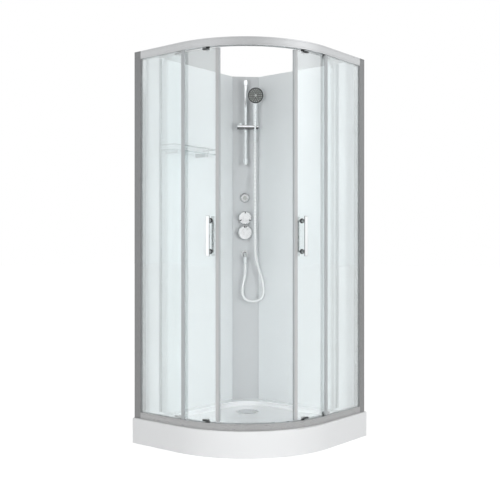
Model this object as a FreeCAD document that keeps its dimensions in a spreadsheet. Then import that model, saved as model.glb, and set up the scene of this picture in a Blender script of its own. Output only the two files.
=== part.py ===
import FreeCAD, Part
import math
import os
import types

import Sketcher

# Corner shower cabin with two curved sliding doors, in millimetres, +Z up.
# The origin is the middle of the footprint on the floor. The left back wall lies at -X, the right back
# wall at +Y, and the curved front bulges towards +X and -Y.

SIZES = {
    # Whole cabin
    "width": 850.0,
    "depth": 900.0,
    "height": 2015.0,
    "corner_radius": 525.0,
    "overrun": 5.0,
    "seat_gap": 0.3,
    "running_gap": 0.05,
    # Tray
    "tray_height": 132.0,
    "tray_lift": 3.0,
    "skirt_wall": 6.0,
    "ledge_drop": 12.0,
    "floor_level": 95.0,
    "floor_wall": 9.0,
    "basin_front_lip": 12.5,
    "basin_rear_margin": 70.0,
    "basin_rear_radius": 180.0,
    "basin_side_radius": 60.0,
    "basin_round": 10.0,
    "rim_round": 4.0,
    "skirt_round": 6.0,
    # Drain
    "drain_from_left": 240.0,
    "drain_from_rear": 258.0,
    "drain_hole_radius": 45.0,
    "drain_dish_radius": 62.0,
    "drain_dish_depth": 4.0,
    "waste_flange_radius": 57.0,
    "waste_flange_height": 2.0,
    "waste_wall": 3.0,
    "trap_radius": 58.0,
    "trap_bottom": 16.0,
    "trap_wall": 3.0,
    "trap_outlet_radius": 25.0,
    "trap_outlet_level": 46.0,
    "trap_outlet_length": 62.0,
    "trap_collar_radius": 29.0,
    "trap_collar_length": 8.0,
    "cover_radius": 56.0,
    "cover_height": 5.0,
    "cover_round": 2.5,
    "cover_plug_radius": 30.0,
    "cover_plug_height": 10.0,
    # Support bars and feet
    "bar_size": 30.0,
    "bar_wall": 2.0,
    "bar_margin": 30.0,
    "front_bar_margin": 120.0,
    "rear_bar_margin": 70.0,
    "skirt_clear": 40.0,
    "foot_margin": 40.0,
    "foot_pad_radius": 22.0,
    "foot_pad_height": 9.0,
    "foot_rod_radius": 5.0,
    "foot_nut_radius": 9.0,
    "foot_nut_height": 8.0,
    # Walls and column
    "wall_inset": 9.0,
    "wall_thickness": 6.0,
    "column_leg": 109.0,
    "trim_width": 12.0,
    "trim_height": 2.5,
    # Rails and posts
    "rail_inset": 13.5,
    "rail_depth": 40.0,
    "top_rail_height": 40.0,
    "bottom_rail_height": 32.0,
    "rail_flange": 4.0,
    "rail_lip": 3.0,
    "rail_cap": 6.0,
    "rail_outer_wall": 6.0,
    "rail_web": 4.0,
    "rail_groove": 1.2,
    "rail_groove_margin": 7.0,
    "post_width": 45.0,
    "post_wall": 2.5,
    "plug_length": 40.0,
    # Glass
    "glass": 5.0,
    "glass_play": 0.3,
    "glass_bite": 10.0,
    "gasket_width": 4.5,
    "gasket_depth": 9.0,
    "left_glass_end": 20.0,
    "right_glass_end": 14.0,
    "seal_width": 18.0,
    "seal_lip": 4.0,
    "seal_lip_width": 2.5,
    # Doors
    "door_inset": 22.0,
    "door_clear": 4.0,
    "door_overlap": 22.0,
    "left_opening": 174.0,
    "right_opening": 191.0,
    "widest_opening": 238.0,
    "magnet_width": 7.0,
    "magnet_depth": 11.0,
    "meeting_gap": 0.3,
    "profile_width": 14.0,
    "profile_depth": 14.0,
    "profile_bite": 9.0,
    "profile_play": 0.3,
    "trailing_seal_width": 9.0,
    "trailing_lip": 9.0,
    # Rollers
    "leading_roller": 74.0,
    "trailing_roller": 246.5,
    "top_wheel_radius": 11.0,
    "bottom_wheel_radius": 9.5,
    "wheel_width": 7.0,
    "axle_radius": 3.0,
    "axle_head_radius": 4.5,
    "axle_head": 1.4,
    "carrier_gap": 3.0,
    "carrier_plate": 4.0,
    "carrier_width": 20.0,
    "carrier_arm": 6.0,
    "carrier_head": 8.0,
    "clamp_width": 33.0,
    "clamp_plate": 3.0,
    "clamp_height": 6.0,
    "clamp_bridge": 2.5,
    "clamp_play": 0.5,
    "stop_length": 8.0,
    # Handles
    "handle_place": 49.3,
    "handle_level": 1063.0,
    "handle_length": 195.0,
    "handle_width": 18.0,
    "handle_thickness": 8.0,
    "handle_round": 2.0,
    "handle_standoff": 30.0,
    "handle_spacing": 150.0,
    "handle_post_radius": 9.0,
    "grip_radius": 4.0,
    "grip_standoff": 26.0,
    "grip_stud_radius": 4.0,
    # Shelf on the left wall
    "shelf_middle": 350.0,
    "shelf_length": 350.0,
    "shelf_reach": 110.0,
    "shelf_level": 1519.0,
    "shelf_round": 25.0,
    "gallery_radius": 3.0,
    "gallery_lift": 27.0,
    "gallery_inset": 8.0,
    "gallery_post_spacing": 194.0,
    "gallery_post_radius": 3.5,
    "arm_spacing": 226.0,
    "arm_width": 14.0,
    "arm_height": 10.0,
    "arm_reach": 70.0,
    # Fittings on the column
    "fittings_shift": -5.0,
    "riser_radius": 9.0,
    "riser_standoff": 52.0,
    "riser_drop": 29.0,
    "riser_length": 497.0,
    "riser_round": 3.0,
    "riser_foot": 21.0,
    "riser_bracket_radius": 10.0,
    "riser_collar": 14.0,
    "riser_collar_height": 24.0,
    "slider_rise": 208.0,
    "slider_height": 22.0,
    "slider_left": 50.0,
    "slider_right": 74.0,
    "slider_back": 12.0,
    "slider_front": 30.0,
    "slider_round": 4.0,
    "slider_play": 0.4,
    "clamp_knob_radius": 9.0,
    "clamp_knob_height": 16.0,
    "clamp_knob_inset": 29.0,
    "clamp_stem_radius": 4.0,
    "clamp_stem_length": 12.0,
    # Hand shower
    "shower_right": 54.0,
    "shower_forward": 13.0,
    "handle_bottom_radius": 13.0,
    "handle_top_radius": 16.0,
    "handle_taper_length": 157.0,
    "holder_play": 0.5,
    "head_radius": 46.0,
    "head_depth": 22.0,
    "head_neck_rise": 37.0,
    "head_forward": 20.0,
    "head_tilt_angle": 14.0,
    "head_round": 9.0,
    "face_radius": 42.0,
    "face_depth": 3.0,
    # Hose
    "hose_radius": 7.25,
    "hose_seat": 17.0,
    "hose_straight": 107.0,
    "cone_radius": 9.0,
    "cone_top_radius": 10.5,
    "cone_length": 75.0,
    "nut_radius": 11.0,
    "nut_neck_radius": 8.5,
    "nut_length": 38.0,
    "nut_hex_length": 14.0,
    # Outlet, jet, knobs and valve manifold
    "outlet_below_riser": 514.0,
    "outlet_radius": 9.0,
    "outlet_standoff": 36.0,
    "outlet_drop": 22.0,
    "rosette_radius": 20.0,
    "rosette_height": 4.0,
    "jet_below_riser": 187.0,
    "jet_radius": 28.0,
    "jet_height": 15.0,
    "jet_round": 9.0,
    "upper_knob_below_riser": 305.0,
    "upper_knob_radius": 39.0,
    "lower_knob_below_riser": 391.0,
    "lower_knob_radius": 41.5,
    "knob_gap": 6.0,
    "knob_depth": 32.0,
    "knob_round": 6.0,
    "knob_notch_width": 6.0,
    "knob_notch_length": 14.0,
    "knob_notch_depth": 12.0,
    "spindle_radius": 6.0,
    "spindle_length": 24.0,
    "boss_radius": 11.0,
    "manifold_radius": 14.0,
    "manifold_back": 32.0,
    "manifold_margin": 20.0,
    "yoke_radius": 12.0,
    "inlet_below_riser": 439.0,
    "inlet_spacing": 64.0,
    "inlet_elbow_radius": 14.0,
    "inlet_elbow_drop": 18.0,
    "inlet_radius": 10.48,
    "inlet_length": 25.0,
}

# The loop that the hose hangs in, as hand-picked places in the column's own frame: sideways from the
# fittings' line, out from the column's face, and up from the wall outlet's mouth.
HOSE_LOOP = [
    (55.0, 60.0, 57.0),
    (60.0, 58.0, -5.0),
    (75.0, 54.0, -65.0),
    (96.0, 50.0, -125.0),
    (105.0, 48.0, -173.0),
    (105.0, 46.0, -226.0),
    (74.0, 44.0, -257.0),
    (14.0, 42.0, -257.0),
    (-17.0, 40.0, -226.0),
    (-17.0, 38.0, -173.0),
    (-1.0, 37.0, -111.0),
    (0.0, 36.0, -65.0),
    (0.0, 36.0, -19.0),
]
HOSE_BEND_SHARE = 0.45

QUARTER = 90.0
DIAGONAL_TURN = -QUARTER / 2
HALF_ARC_TURN = QUARTER / 2
COLUMN_TURN = QUARTER / 2
TOLERANCE = 1e-6

doc = FreeCAD.newDocument("shower_cabin")
nodes = []


class Size:
    """A number that also knows the sheet expression it comes from."""

    def __init__(self, value, text):
        self.value = float(value)
        self.text = text

    def __add__(self, other):
        other = as_size(other)
        return Size(self.value + other.value, f"({self.text} + {other.text})")

    def __radd__(self, other):
        return as_size(other) + self

    def __sub__(self, other):
        other = as_size(other)
        return Size(self.value - other.value, f"({self.text} - {other.text})")

    def __rsub__(self, other):
        return as_size(other) - self

    def __mul__(self, other):
        other = as_size(other)
        return Size(self.value * other.value, f"({self.text} * {other.text})")

    def __rmul__(self, other):
        return as_size(other) * self

    def __truediv__(self, other):
        other = as_size(other)
        return Size(self.value / other.value, f"({self.text} / {other.text})")

    def __neg__(self):
        return as_size(0) - self


def as_size(number):
    return number if isinstance(number, Size) else Size(number, f"({float(number)!r})")


def sine(angle):
    angle = as_size(angle)
    return Size(math.sin(math.radians(angle.value)), f"sin({angle.text} * 1deg)")


def cosine(angle):
    angle = as_size(angle)
    return Size(math.cos(math.radians(angle.value)), f"cos({angle.text} * 1deg)")


def root(square):
    square = as_size(square)
    return Size(math.sqrt(square.value), f"sqrt({square.text})")


def arc_turn(length, radius):
    """The angle in degrees that a length along an arc takes up."""
    return as_size(length) / radius * Size(math.degrees(1), "(180 / pi)")


def make_sheet():
    """Writes the driving sizes into the sheet and returns them as a namespace of Size values."""
    sheet = doc.addObject("Spreadsheet::Sheet", "sizes")
    for row, (alias, value) in enumerate(SIZES.items(), start=1):
        sheet.set(f"A{row}", alias)
        sheet.set(f"B{row}", repr(value))
        sheet.setAlias(f"B{row}", alias)
    doc.recompute()
    return types.SimpleNamespace(**{alias: Size(sheet.get(alias), f"sizes.{alias}") for alias in SIZES})


d = make_sheet()

# Places that many pieces share
LEFT = -d.width / 2
RIGHT = d.width / 2
FRONT = -d.depth / 2
REAR = d.depth / 2
ARC_X = RIGHT - d.corner_radius
ARC_Y = FRONT + d.corner_radius
LEDGE = d.tray_height - d.ledge_drop
WALL_X = LEFT + d.wall_inset + d.wall_thickness
WALL_Y = REAR - d.wall_inset - d.wall_thickness
RAIL_Y = FRONT + d.rail_inset
RAIL_X = RIGHT - d.rail_inset
RAIL_RADIUS = d.corner_radius - d.rail_inset
POST_X = LEFT + d.post_width
POST_Y = REAR - d.post_width
TOP_RAIL = d.height - d.top_rail_height
BOTTOM_RAIL = d.tray_height + d.bottom_rail_height
SLOT_END = d.rail_outer_wall + d.glass + 2 * d.glass_play
CHANNEL = SLOT_END + d.rail_web
TRACK_UNDERSIDE = TOP_RAIL + d.rail_lip
TRACK = TRACK_UNDERSIDE + d.rail_flange
DRAIN_X = LEFT + d.drain_from_left
DRAIN_Y = REAR - d.drain_from_rear
DISH_LEVEL = d.floor_level - d.drain_dish_depth
UNDERSIDE = d.floor_level - d.floor_wall
FACE_X = WALL_X + d.column_leg / 2
FACE_Y = WALL_Y - d.column_leg / 2
PANE_OUT = RAIL_RADIUS - d.door_inset
PANE_IN = PANE_OUT - d.glass
PANE_MIDDLE = (PANE_IN + PANE_OUT) / 2
PANE_LOW = BOTTOM_RAIL + d.door_clear
PANE_HIGH = TOP_RAIL - d.door_clear
COLUMN_BACK = d.wall_thickness * cosine(COLUMN_TURN)
RISER_TOP = d.height - d.riser_drop
RISER_BOTTOM = RISER_TOP - d.riser_length
SLIDER_LEVEL = RISER_BOTTOM + d.slider_rise
JET_LEVEL = RISER_BOTTOM - d.jet_below_riser
UPPER_KNOB_LEVEL = RISER_BOTTOM - d.upper_knob_below_riser
LOWER_KNOB_LEVEL = RISER_BOTTOM - d.lower_knob_below_riser
INLET_LEVEL = RISER_BOTTOM - d.inlet_below_riser
OUTLET_LEVEL = RISER_BOTTOM - d.outlet_below_riser
OUTLET_MOUTH = OUTLET_LEVEL - d.outlet_drop


# Building blocks

def bind(item, prop, size):
    item.setExpression(prop, as_size(size).text)


def locate(item, place):
    for axis, size in zip("xyz", place):
        bind(item, f"Placement.Base.{axis}", size)


TURNS = {
    "up": FreeCAD.Rotation(),
    "out": FreeCAD.Rotation(FreeCAD.Vector(1, 0, 0), QUARTER),
    "radial": FreeCAD.Rotation(FreeCAD.Vector(0, 1, 0), QUARTER),
    "rearward": FreeCAD.Rotation(FreeCAD.Vector(1, 0, 0), -QUARTER),
    "leftward": FreeCAD.Rotation(FreeCAD.Vector(0, 1, 0), -QUARTER),
}


def box(low, high):
    item = doc.addObject("Part::Box", "block")
    for prop, first, last in zip(("Length", "Width", "Height"), low, high):
        bind(item, prop, as_size(last) - first)
    locate(item, low)
    return item


def rod(radius, length, place, heading="up"):
    item = doc.addObject("Part::Cylinder", "rod")
    item.Placement = FreeCAD.Placement(FreeCAD.Vector(), TURNS[heading])
    bind(item, "Radius", radius)
    bind(item, "Height", length)
    locate(item, place)
    return item


def taper(radius_low, radius_high, length, place):
    item = doc.addObject("Part::Cone", "taper")
    bind(item, "Radius1", radius_low)
    bind(item, "Radius2", radius_high)
    bind(item, "Height", length)
    locate(item, place)
    return item


def ball(radius, place):
    item = doc.addObject("Part::Sphere", "ball")
    bind(item, "Radius", radius)
    locate(item, place)
    return item


def fuse(*items):
    item = doc.addObject("Part::MultiFuse", "joined")
    item.Shapes = list(items)
    item.Refine = True
    return item


def cut(base, *tools):
    for tool in tools:
        item = doc.addObject("Part::Cut", "trimmed")
        item.Base = base
        item.Tool = tool
        base = item
    return base


def group(*items):
    item = doc.addObject("Part::Compound", "group")
    item.Links = list(items)
    return item


def node(label, item):
    item.Label = label
    nodes.append(item)
    return item


def turn_about(item, x, y, turn, z=0):
    """Places a finished piece at a point of the plan, turned about the vertical."""
    item.Placement = FreeCAD.Placement(
        FreeCAD.Vector(), FreeCAD.Rotation(FreeCAD.Vector(0, 0, 1), as_size(turn).value)
    )
    locate(item, (x, y, z))
    bind(item, "Placement.Rotation.Angle", turn)
    return item


def on_column(item):
    """Puts a piece that was made in the column's frame (right, back, up) onto the column's face."""
    return turn_about(item, FACE_X, FACE_Y, COLUMN_TURN)


def column_point(side, out):
    """The plan place of a point that lies to the side of the face's middle and out from the face."""
    reach = cosine(COLUMN_TURN)
    return (FACE_X + (as_size(side) + out) * reach, FACE_Y + (as_size(side) - out) * reach)


def face_out(item, side, out, level, tilt=0):
    """Puts a turned piece on the column with its axis out of the face, tipped down by the tilt."""
    heading = FreeCAD.Rotation(FreeCAD.Vector(0, 0, 1), COLUMN_TURN)
    tip = FreeCAD.Rotation(FreeCAD.Vector(1, 0, 0), QUARTER + as_size(tilt).value)
    item.Placement = FreeCAD.Placement(FreeCAD.Vector(), heading * tip)
    locate(item, (*column_point(side, out), level))
    return item


def on_arc(item, turn):
    """Puts a piece that was made in the arc's frame (outward, along, up) at an angle of the arc."""
    return turn_about(item, ARC_X, ARC_Y, turn)


def vector(point):
    return FreeCAD.Vector(as_size(point[0]).value, as_size(point[1]).value, 0)


def tie(sketch, kind, index, position, size):
    size = as_size(size)
    number = sketch.addConstraint(Sketcher.Constraint(kind, -1, 1, index, position, size.value))
    sketch.setExpression(f"Constraints[{number}]", size.text)


def tie_point(sketch, index, position, point):
    tie(sketch, "DistanceX", index, position, point[0])
    tie(sketch, "DistanceY", index, position, point[1])


def new_body(name):
    return doc.addObject("PartDesign::Body", name)


def new_sketch(body, role, offset=0):
    sketch = body.newObject("Sketcher::SketchObject", "outline")
    planes = {feature.Role: feature for feature in body.Origin.OriginFeatures}
    sketch.AttachmentSupport = [(planes[role], "")]
    sketch.MapMode = "FlatFace"
    bind(sketch, "AttachmentOffset.Base.z", offset)
    return sketch


def draw_polygon(sketch, corners):
    count = len(corners)
    for index, corner in enumerate(corners):
        following = corners[(index + 1) % count]
        sketch.addGeometry(Part.LineSegment(vector(corner), vector(following)), False)
    for index, corner in enumerate(corners):
        sketch.addConstraint(Sketcher.Constraint("Coincident", index, 2, (index + 1) % count, 1))
        tie_point(sketch, index, 1, corner)


def draw_arc(sketch, first, last, centre, ends_upright):
    """A quarter arc, counter-clockwise, with its centre and both ends tied."""
    start = vector(first) - vector(centre)
    begin = math.atan2(start.y, start.x)
    circle = Part.Circle(vector(centre), FreeCAD.Vector(0, 0, 1), start.Length)
    index = sketch.addGeometry(Part.ArcOfCircle(circle, begin, begin + math.radians(QUARTER)), False)
    tie_point(sketch, index, 3, centre)
    tie_point(sketch, index, 1, first)
    tie(sketch, *(("DistanceY", index, 2, last[1]) if ends_upright else ("DistanceX", index, 2, last[0])))
    return index


def draw_rounded(sketch, low, high, radii):
    """A rectangle whose corners have their own radii: front left, front right, rear right, rear left."""
    corners = [
        (low[0], low[1], 1, 1),
        (high[0], low[1], -1, 1),
        (high[0], high[1], -1, -1),
        (low[0], high[1], 1, -1),
    ]
    ends = []
    for number, ((x, y, inward_x, inward_y), radius) in enumerate(zip(corners, radii)):
        if radius is None:
            ends.append(((x, y), (x, y), None))
            continue
        centre = (x + inward_x * radius, y + inward_y * radius)
        level_end, upright_end = (centre[0], y), (x, centre[1])
        ends_upright = number % 2 == 1
        first, last = (level_end, upright_end) if ends_upright else (upright_end, level_end)
        ends.append((first, last, draw_arc(sketch, first, last, centre, ends_upright)))
    lines = []
    for number, (_, last, _) in enumerate(ends):
        first_of_next = ends[(number + 1) % len(ends)][0]
        lines.append(sketch.addGeometry(Part.LineSegment(vector(last), vector(first_of_next)), False))
    for number, (first, last, arc) in enumerate(ends):
        before, after = lines[number - 1], lines[number]
        if arc is None:
            sketch.addConstraint(Sketcher.Constraint("Coincident", before, 2, after, 1))
            tie_point(sketch, after, 1, last)
        else:
            sketch.addConstraint(Sketcher.Constraint("Coincident", before, 2, arc, 1))
            sketch.addConstraint(Sketcher.Constraint("Coincident", arc, 2, after, 1))


def draw_circle(sketch, centre, radius):
    circle = Part.Circle(vector(centre), FreeCAD.Vector(0, 0, 1), as_size(radius).value)
    index = sketch.addGeometry(circle, False)
    tie_point(sketch, index, 3, centre)
    number = sketch.addConstraint(Sketcher.Constraint("Radius", index, as_size(radius).value))
    bind(sketch, f"Constraints[{number}]", radius)


def pad(body, sketch, length):
    feature = body.newObject("PartDesign::Pad", "pad")
    feature.Profile = sketch
    bind(feature, "Length", length)
    return feature


def pocket(body, sketch, depth, upward=False):
    feature = body.newObject("PartDesign::Pocket", "pocket")
    feature.Profile = sketch
    feature.Reversed = upward
    bind(feature, "Length", depth)
    return feature


def round_edges(body, base, names, radius):
    feature = body.newObject("PartDesign::Fillet", "rounding")
    feature.Base = (base, names)
    bind(feature, "Radius", radius)
    doc.recompute()
    return feature


def rounded_box(low, high, radius):
    """A block with all its edges rounded."""
    block = box(low, high)
    item = doc.addObject("Part::Fillet", "rounded_block")
    item.Base = block
    doc.recompute()
    item.Edges = [(index + 1, radius.value, radius.value) for index in range(len(block.Shape.Edges))]
    return item


def turned(name, corners, rounds=()):
    """A body turned about its own +Z from (radius, height) corners, with some corners rounded."""
    body = new_body(name)
    sketch = new_sketch(body, "XZ_Plane")
    draw_polygon(sketch, corners)
    feature = body.newObject("PartDesign::Revolution", "turning")
    feature.Profile = sketch
    feature.ReferenceAxis = (sketch, ["V_Axis"])
    doc.recompute()
    for number, radius in rounds:
        corner = vector(corners[number])
        names = [
            f"Edge{index}"
            for index, edge in enumerate(feature.Shape.Edges, start=1)
            if isinstance(edge.Curve, Part.Circle)
            and math.isclose(edge.Curve.Radius, corner.x, abs_tol=TOLERANCE)
            and math.isclose(edge.Curve.Center.z, corner.y, abs_tol=TOLERANCE)
        ]
        feature = round_edges(body, feature, names, radius)
    return body


def curved_sheet(name, inner, outer, low, high, span):
    """A sheet bent about the arc's centre, from its own +X round towards +Y."""
    body = new_body(name)
    sketch = new_sketch(body, "XZ_Plane")
    draw_polygon(sketch, [(inner, low), (outer, low), (outer, high), (inner, high)])
    feature = body.newObject("PartDesign::Revolution", "bending")
    feature.Profile = sketch
    feature.ReferenceAxis = (sketch, ["V_Axis"])
    bind(feature, "Angle", span)
    return body


def prism(name, corners, low, high):
    """An upright bar with a straight-sided plan."""
    body = new_body(name)
    sketch = new_sketch(body, "XY_Plane", low)
    draw_polygon(sketch, corners)
    pad(body, sketch, as_size(high) - low)
    return body


# Tray

def tray_outline(body, level, inset, open_rear):
    """The tray's plan, drawn in from its front sides and run past its rear sides where asked."""
    sketch = new_sketch(body, "XY_Plane", level)
    beyond = d.overrun if open_rear else as_size(0)
    low = (LEFT - beyond, FRONT + inset)
    high = (RIGHT - inset, REAR + beyond)
    draw_rounded(sketch, low, high, (None, d.corner_radius - inset, None, None))
    return sketch


def edges_at(shape, level, belongs):
    """Names of the edges that lie flat at a level, and whose ends all pass a test of their place."""
    return [
        f"Edge{index}"
        for index, edge in enumerate(shape.Edges, start=1)
        if all(
            math.isclose(vertex.Z, level.value, abs_tol=TOLERANCE) and belongs(vertex.X, vertex.Y)
            for vertex in edge.Vertexes
        )
    ]


def on_front(x, y):
    """Whether a place lies on the tray's outer front sides."""
    at_front = math.isclose(y, FRONT.value, abs_tol=TOLERANCE)
    at_right = math.isclose(x, RIGHT.value, abs_tol=TOLERANCE)
    return at_front or at_right


def well_inside(x, y):
    """Whether a place lies further in than the band that carries the rails."""
    band = d.rail_inset.value + d.rail_depth.value
    return abs(x) < RIGHT.value - band and abs(y) < REAR.value - band


def tray_shell():
    body = new_body("tray_shell")
    pad(body, tray_outline(body, d.tray_lift, as_size(0), False), d.tray_height - d.tray_lift)
    rail_band = d.rail_inset + d.rail_depth
    ledge = pocket(body, tray_outline(body, d.tray_height, rail_band, True), d.ledge_drop)
    doc.recompute()
    round_edges(body, ledge, edges_at(ledge.Shape, d.tray_height, on_front), d.skirt_round)
    basin = new_sketch(body, "XY_Plane", LEDGE)
    front_margin = rail_band + d.basin_front_lip
    draw_rounded(
        basin,
        (LEFT + d.basin_rear_margin, FRONT + front_margin),
        (RIGHT - front_margin, REAR - d.basin_rear_margin),
        (d.basin_side_radius, d.corner_radius - front_margin, d.basin_side_radius, d.basin_rear_radius),
    )
    hollow = pocket(body, basin, LEDGE - d.floor_level)
    doc.recompute()
    hollow = round_edges(body, hollow, edges_at(hollow.Shape, d.floor_level, well_inside), d.basin_round)
    round_edges(body, hollow, edges_at(hollow.Shape, LEDGE, well_inside), d.rim_round)
    dish = new_sketch(body, "XY_Plane", d.floor_level)
    draw_circle(dish, (DRAIN_X, DRAIN_Y), d.drain_dish_radius)
    pocket(body, dish, d.drain_dish_depth)
    under = tray_outline(body, d.tray_lift, d.skirt_wall, True)
    pocket(body, under, UNDERSIDE - d.tray_lift, upward=True)
    hole = new_sketch(body, "XY_Plane", d.floor_level)
    draw_circle(hole, (DRAIN_X, DRAIN_Y), d.drain_hole_radius)
    pocket(body, hole, d.floor_wall + d.overrun)
    return node("tray_shell", body)


def support_bars():
    """Three square tubes under the tray, the screw feet that carry them, and the feet's lock nuts."""
    start = LEFT + d.bar_margin
    full_end = RIGHT - d.bar_margin
    bars, feet, nuts = [], [], []
    half = d.bar_size / 2
    low = UNDERSIDE - d.bar_size
    skirt_radius = d.corner_radius - d.skirt_wall
    depth_in_arc = d.corner_radius - d.front_bar_margin + half
    front_end = ARC_X + root(skirt_radius * skirt_radius - depth_in_arc * depth_in_arc) - d.skirt_clear
    for y, end in (
        (FRONT + d.front_bar_margin, front_end),
        ((FRONT + REAR) / 2, full_end),
        (REAR - d.rear_bar_margin, full_end),
    ):
        outer = box((start, y - half, low), (end, y + half, UNDERSIDE))
        inner = box(
            (start - d.overrun, y - half + d.bar_wall, low + d.bar_wall),
            (end + d.overrun, y + half - d.bar_wall, UNDERSIDE - d.bar_wall),
        )
        tube = cut(outer, inner)
        for x in (start + d.foot_margin, end - d.foot_margin):
            hole = rod(d.foot_rod_radius + d.running_gap, d.bar_wall + 2 * d.overrun, (x, y, low - d.overrun))
            tube = cut(tube, hole)
            pad_piece = rod(d.foot_pad_radius, d.foot_pad_height, (x, y, 0))
            screw_length = UNDERSIDE - d.bar_wall - d.foot_pad_height
            screw = rod(d.foot_rod_radius, screw_length, (x, y, d.foot_pad_height))
            feet.append(fuse(pad_piece, screw))
            nut = rod(d.foot_nut_radius, d.foot_nut_height, (x, y, low - d.foot_nut_height))
            bore = rod(
                d.foot_rod_radius + d.running_gap,
                d.foot_nut_height + 2 * d.overrun,
                (x, y, low - d.foot_nut_height - d.overrun),
            )
            nuts.append(cut(nut, bore))
        bars.append(tube)
    node("tray_bars", group(*bars))
    node("tray_feet", group(*feet, *nuts))


def waste():
    """Waste body through the tray's floor, trap clamped under it, and the cover that lifts off."""
    tube = d.drain_hole_radius - d.running_gap
    flange_top = DISH_LEVEL + d.waste_flange_height
    tail = UNDERSIDE - d.floor_wall
    body = turned("waste_body", [
        (tube - d.waste_wall, tail),
        (tube, tail),
        (tube, DISH_LEVEL),
        (d.waste_flange_radius, DISH_LEVEL),
        (d.waste_flange_radius, flange_top),
        (tube - d.waste_wall, flange_top),
    ])
    turn_about(body, DRAIN_X, DRAIN_Y, 0)
    node("waste_body", body)

    pot = turned("trap_pot", [
        (0, d.trap_bottom),
        (d.trap_radius, d.trap_bottom),
        (d.trap_radius, UNDERSIDE),
        (tube + d.running_gap, UNDERSIDE),
        (tube + d.running_gap, tail),
        (d.trap_radius - d.trap_wall, tail),
        (d.trap_radius - d.trap_wall, d.trap_bottom + d.trap_wall),
        (0, d.trap_bottom + d.trap_wall),
    ])
    turn_about(pot, DRAIN_X, DRAIN_Y, 0)
    begin = (d.trap_radius - d.trap_wall) / 2
    face = d.trap_radius + d.trap_collar_length
    reach = face + d.trap_outlet_length

    def spout(radius, end):
        return rod(radius, end - begin, (DRAIN_X - begin, DRAIN_Y, d.trap_outlet_level), "leftward")

    hollow = turned("trap_hollow", [
        (0, d.trap_bottom + d.trap_wall),
        (d.trap_radius - d.trap_wall, d.trap_bottom + d.trap_wall),
        (d.trap_radius - d.trap_wall, tail),
        (0, tail),
    ])
    turn_about(hollow, DRAIN_X, DRAIN_Y, 0)
    outlet = fuse(spout(d.trap_collar_radius, face), spout(d.trap_outlet_radius, reach))
    bore = spout(d.trap_outlet_radius - d.trap_wall, reach + d.overrun)
    node("waste_trap", cut(fuse(pot, cut(outlet, hollow)), bore))

    seat = flange_top + d.seat_gap
    top = seat + d.cover_height
    cover = turned("drain_cover", [
        (0, seat - d.cover_plug_height),
        (d.cover_plug_radius, seat - d.cover_plug_height),
        (d.cover_plug_radius, seat),
        (d.cover_radius, seat),
        (d.cover_radius, top),
        (0, top),
    ], [(4, d.cover_round)])
    turn_about(cover, DRAIN_X, DRAIN_Y, 0)
    node("drain_cover", cover)


# Walls and column

def walls():
    side_end = WALL_Y - d.column_leg
    node("left_wall", group(box(
        (WALL_X - d.wall_thickness, RAIL_Y + d.rail_depth, LEDGE),
        (WALL_X, side_end, d.height),
    )))
    node("right_wall", group(box(
        (WALL_X + d.column_leg, WALL_Y, LEDGE),
        (RAIL_X - d.rail_depth, WALL_Y + d.wall_thickness, d.height),
    )))
    panel = prism("column_sheet", [
        (WALL_X, side_end),
        (WALL_X + d.column_leg, WALL_Y),
        (WALL_X + d.column_leg, WALL_Y + d.wall_thickness),
        (WALL_X - d.wall_thickness, side_end),
    ], LEDGE, d.height)
    for level, side, radius in (
        (JET_LEVEL, d.fittings_shift, d.boss_radius),
        (UPPER_KNOB_LEVEL, d.fittings_shift, d.boss_radius),
        (LOWER_KNOB_LEVEL, d.fittings_shift, d.boss_radius),
        (OUTLET_LEVEL, d.fittings_shift, d.boss_radius),
    ):
        tool = doc.addObject("Part::Cylinder", "hole")
        bind(tool, "Radius", radius + d.running_gap)
        bind(tool, "Height", COLUMN_BACK + 2 * d.overrun)
        face_out(tool, side, -COLUMN_BACK - d.overrun, level)
        panel = cut(panel, tool)
    node("column_panel", panel)
    half = d.column_leg / 2 / cosine(COLUMN_TURN)
    strips = []
    for edge in (-half, half):
        inner = edge * (1 - d.trim_width / half)
        low, high = (edge, inner) if edge.value < 0 else (inner, edge)
        strips.append(box(
            (low + d.trim_height / 2, -d.trim_height, LEDGE),
            (high - d.trim_height / 2, 0, d.height),
        ))
    node("column_trims", on_column(group(*strips)))


# Rails, posts and fixed panes

def swept_rail(label, corners, left_end, right_end):
    """A rail profile, drawn as (in from its outer face, up) corners, swept round the curved front."""
    body = new_body(label)
    spine = new_sketch(body, "XY_Plane")
    tangent_left, tangent_right = (ARC_X, RAIL_Y), (RAIL_X, ARC_Y)
    left = spine.addGeometry(Part.LineSegment(vector((left_end, RAIL_Y)), vector(tangent_left)), False)
    arc = draw_arc(spine, tangent_left, tangent_right, (ARC_X, ARC_Y), True)
    right = spine.addGeometry(Part.LineSegment(vector(tangent_right), vector((RAIL_X, right_end))), False)
    spine.addConstraint(Sketcher.Constraint("Coincident", left, 2, arc, 1))
    spine.addConstraint(Sketcher.Constraint("Coincident", arc, 2, right, 1))
    tie_point(spine, left, 1, (left_end, RAIL_Y))
    tie_point(spine, right, 2, (RAIL_X, right_end))
    profile = new_sketch(body, "YZ_Plane", left_end)
    draw_polygon(profile, [(RAIL_Y + inward, level) for inward, level in corners])
    doc.recompute()
    sweep = body.newObject("PartDesign::AdditivePipe", "sweep")
    sweep.Profile = profile
    sweep.Spine = (spine, [f"Edge{number}" for number in (1, 2, 3)])
    return node(label, body)


def outer_face(low, high):
    """The rail's outer face from its top down, with a fine groove near each edge."""
    points = [(as_size(0), high)]
    for middle in (high - d.rail_groove_margin, low + d.rail_groove_margin):
        points += [
            (as_size(0), middle + d.rail_groove / 2),
            (d.rail_groove, middle + d.rail_groove / 2),
            (d.rail_groove, middle - d.rail_groove / 2),
            (as_size(0), middle - d.rail_groove / 2),
        ]
    return points + [(as_size(0), low)]


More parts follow.
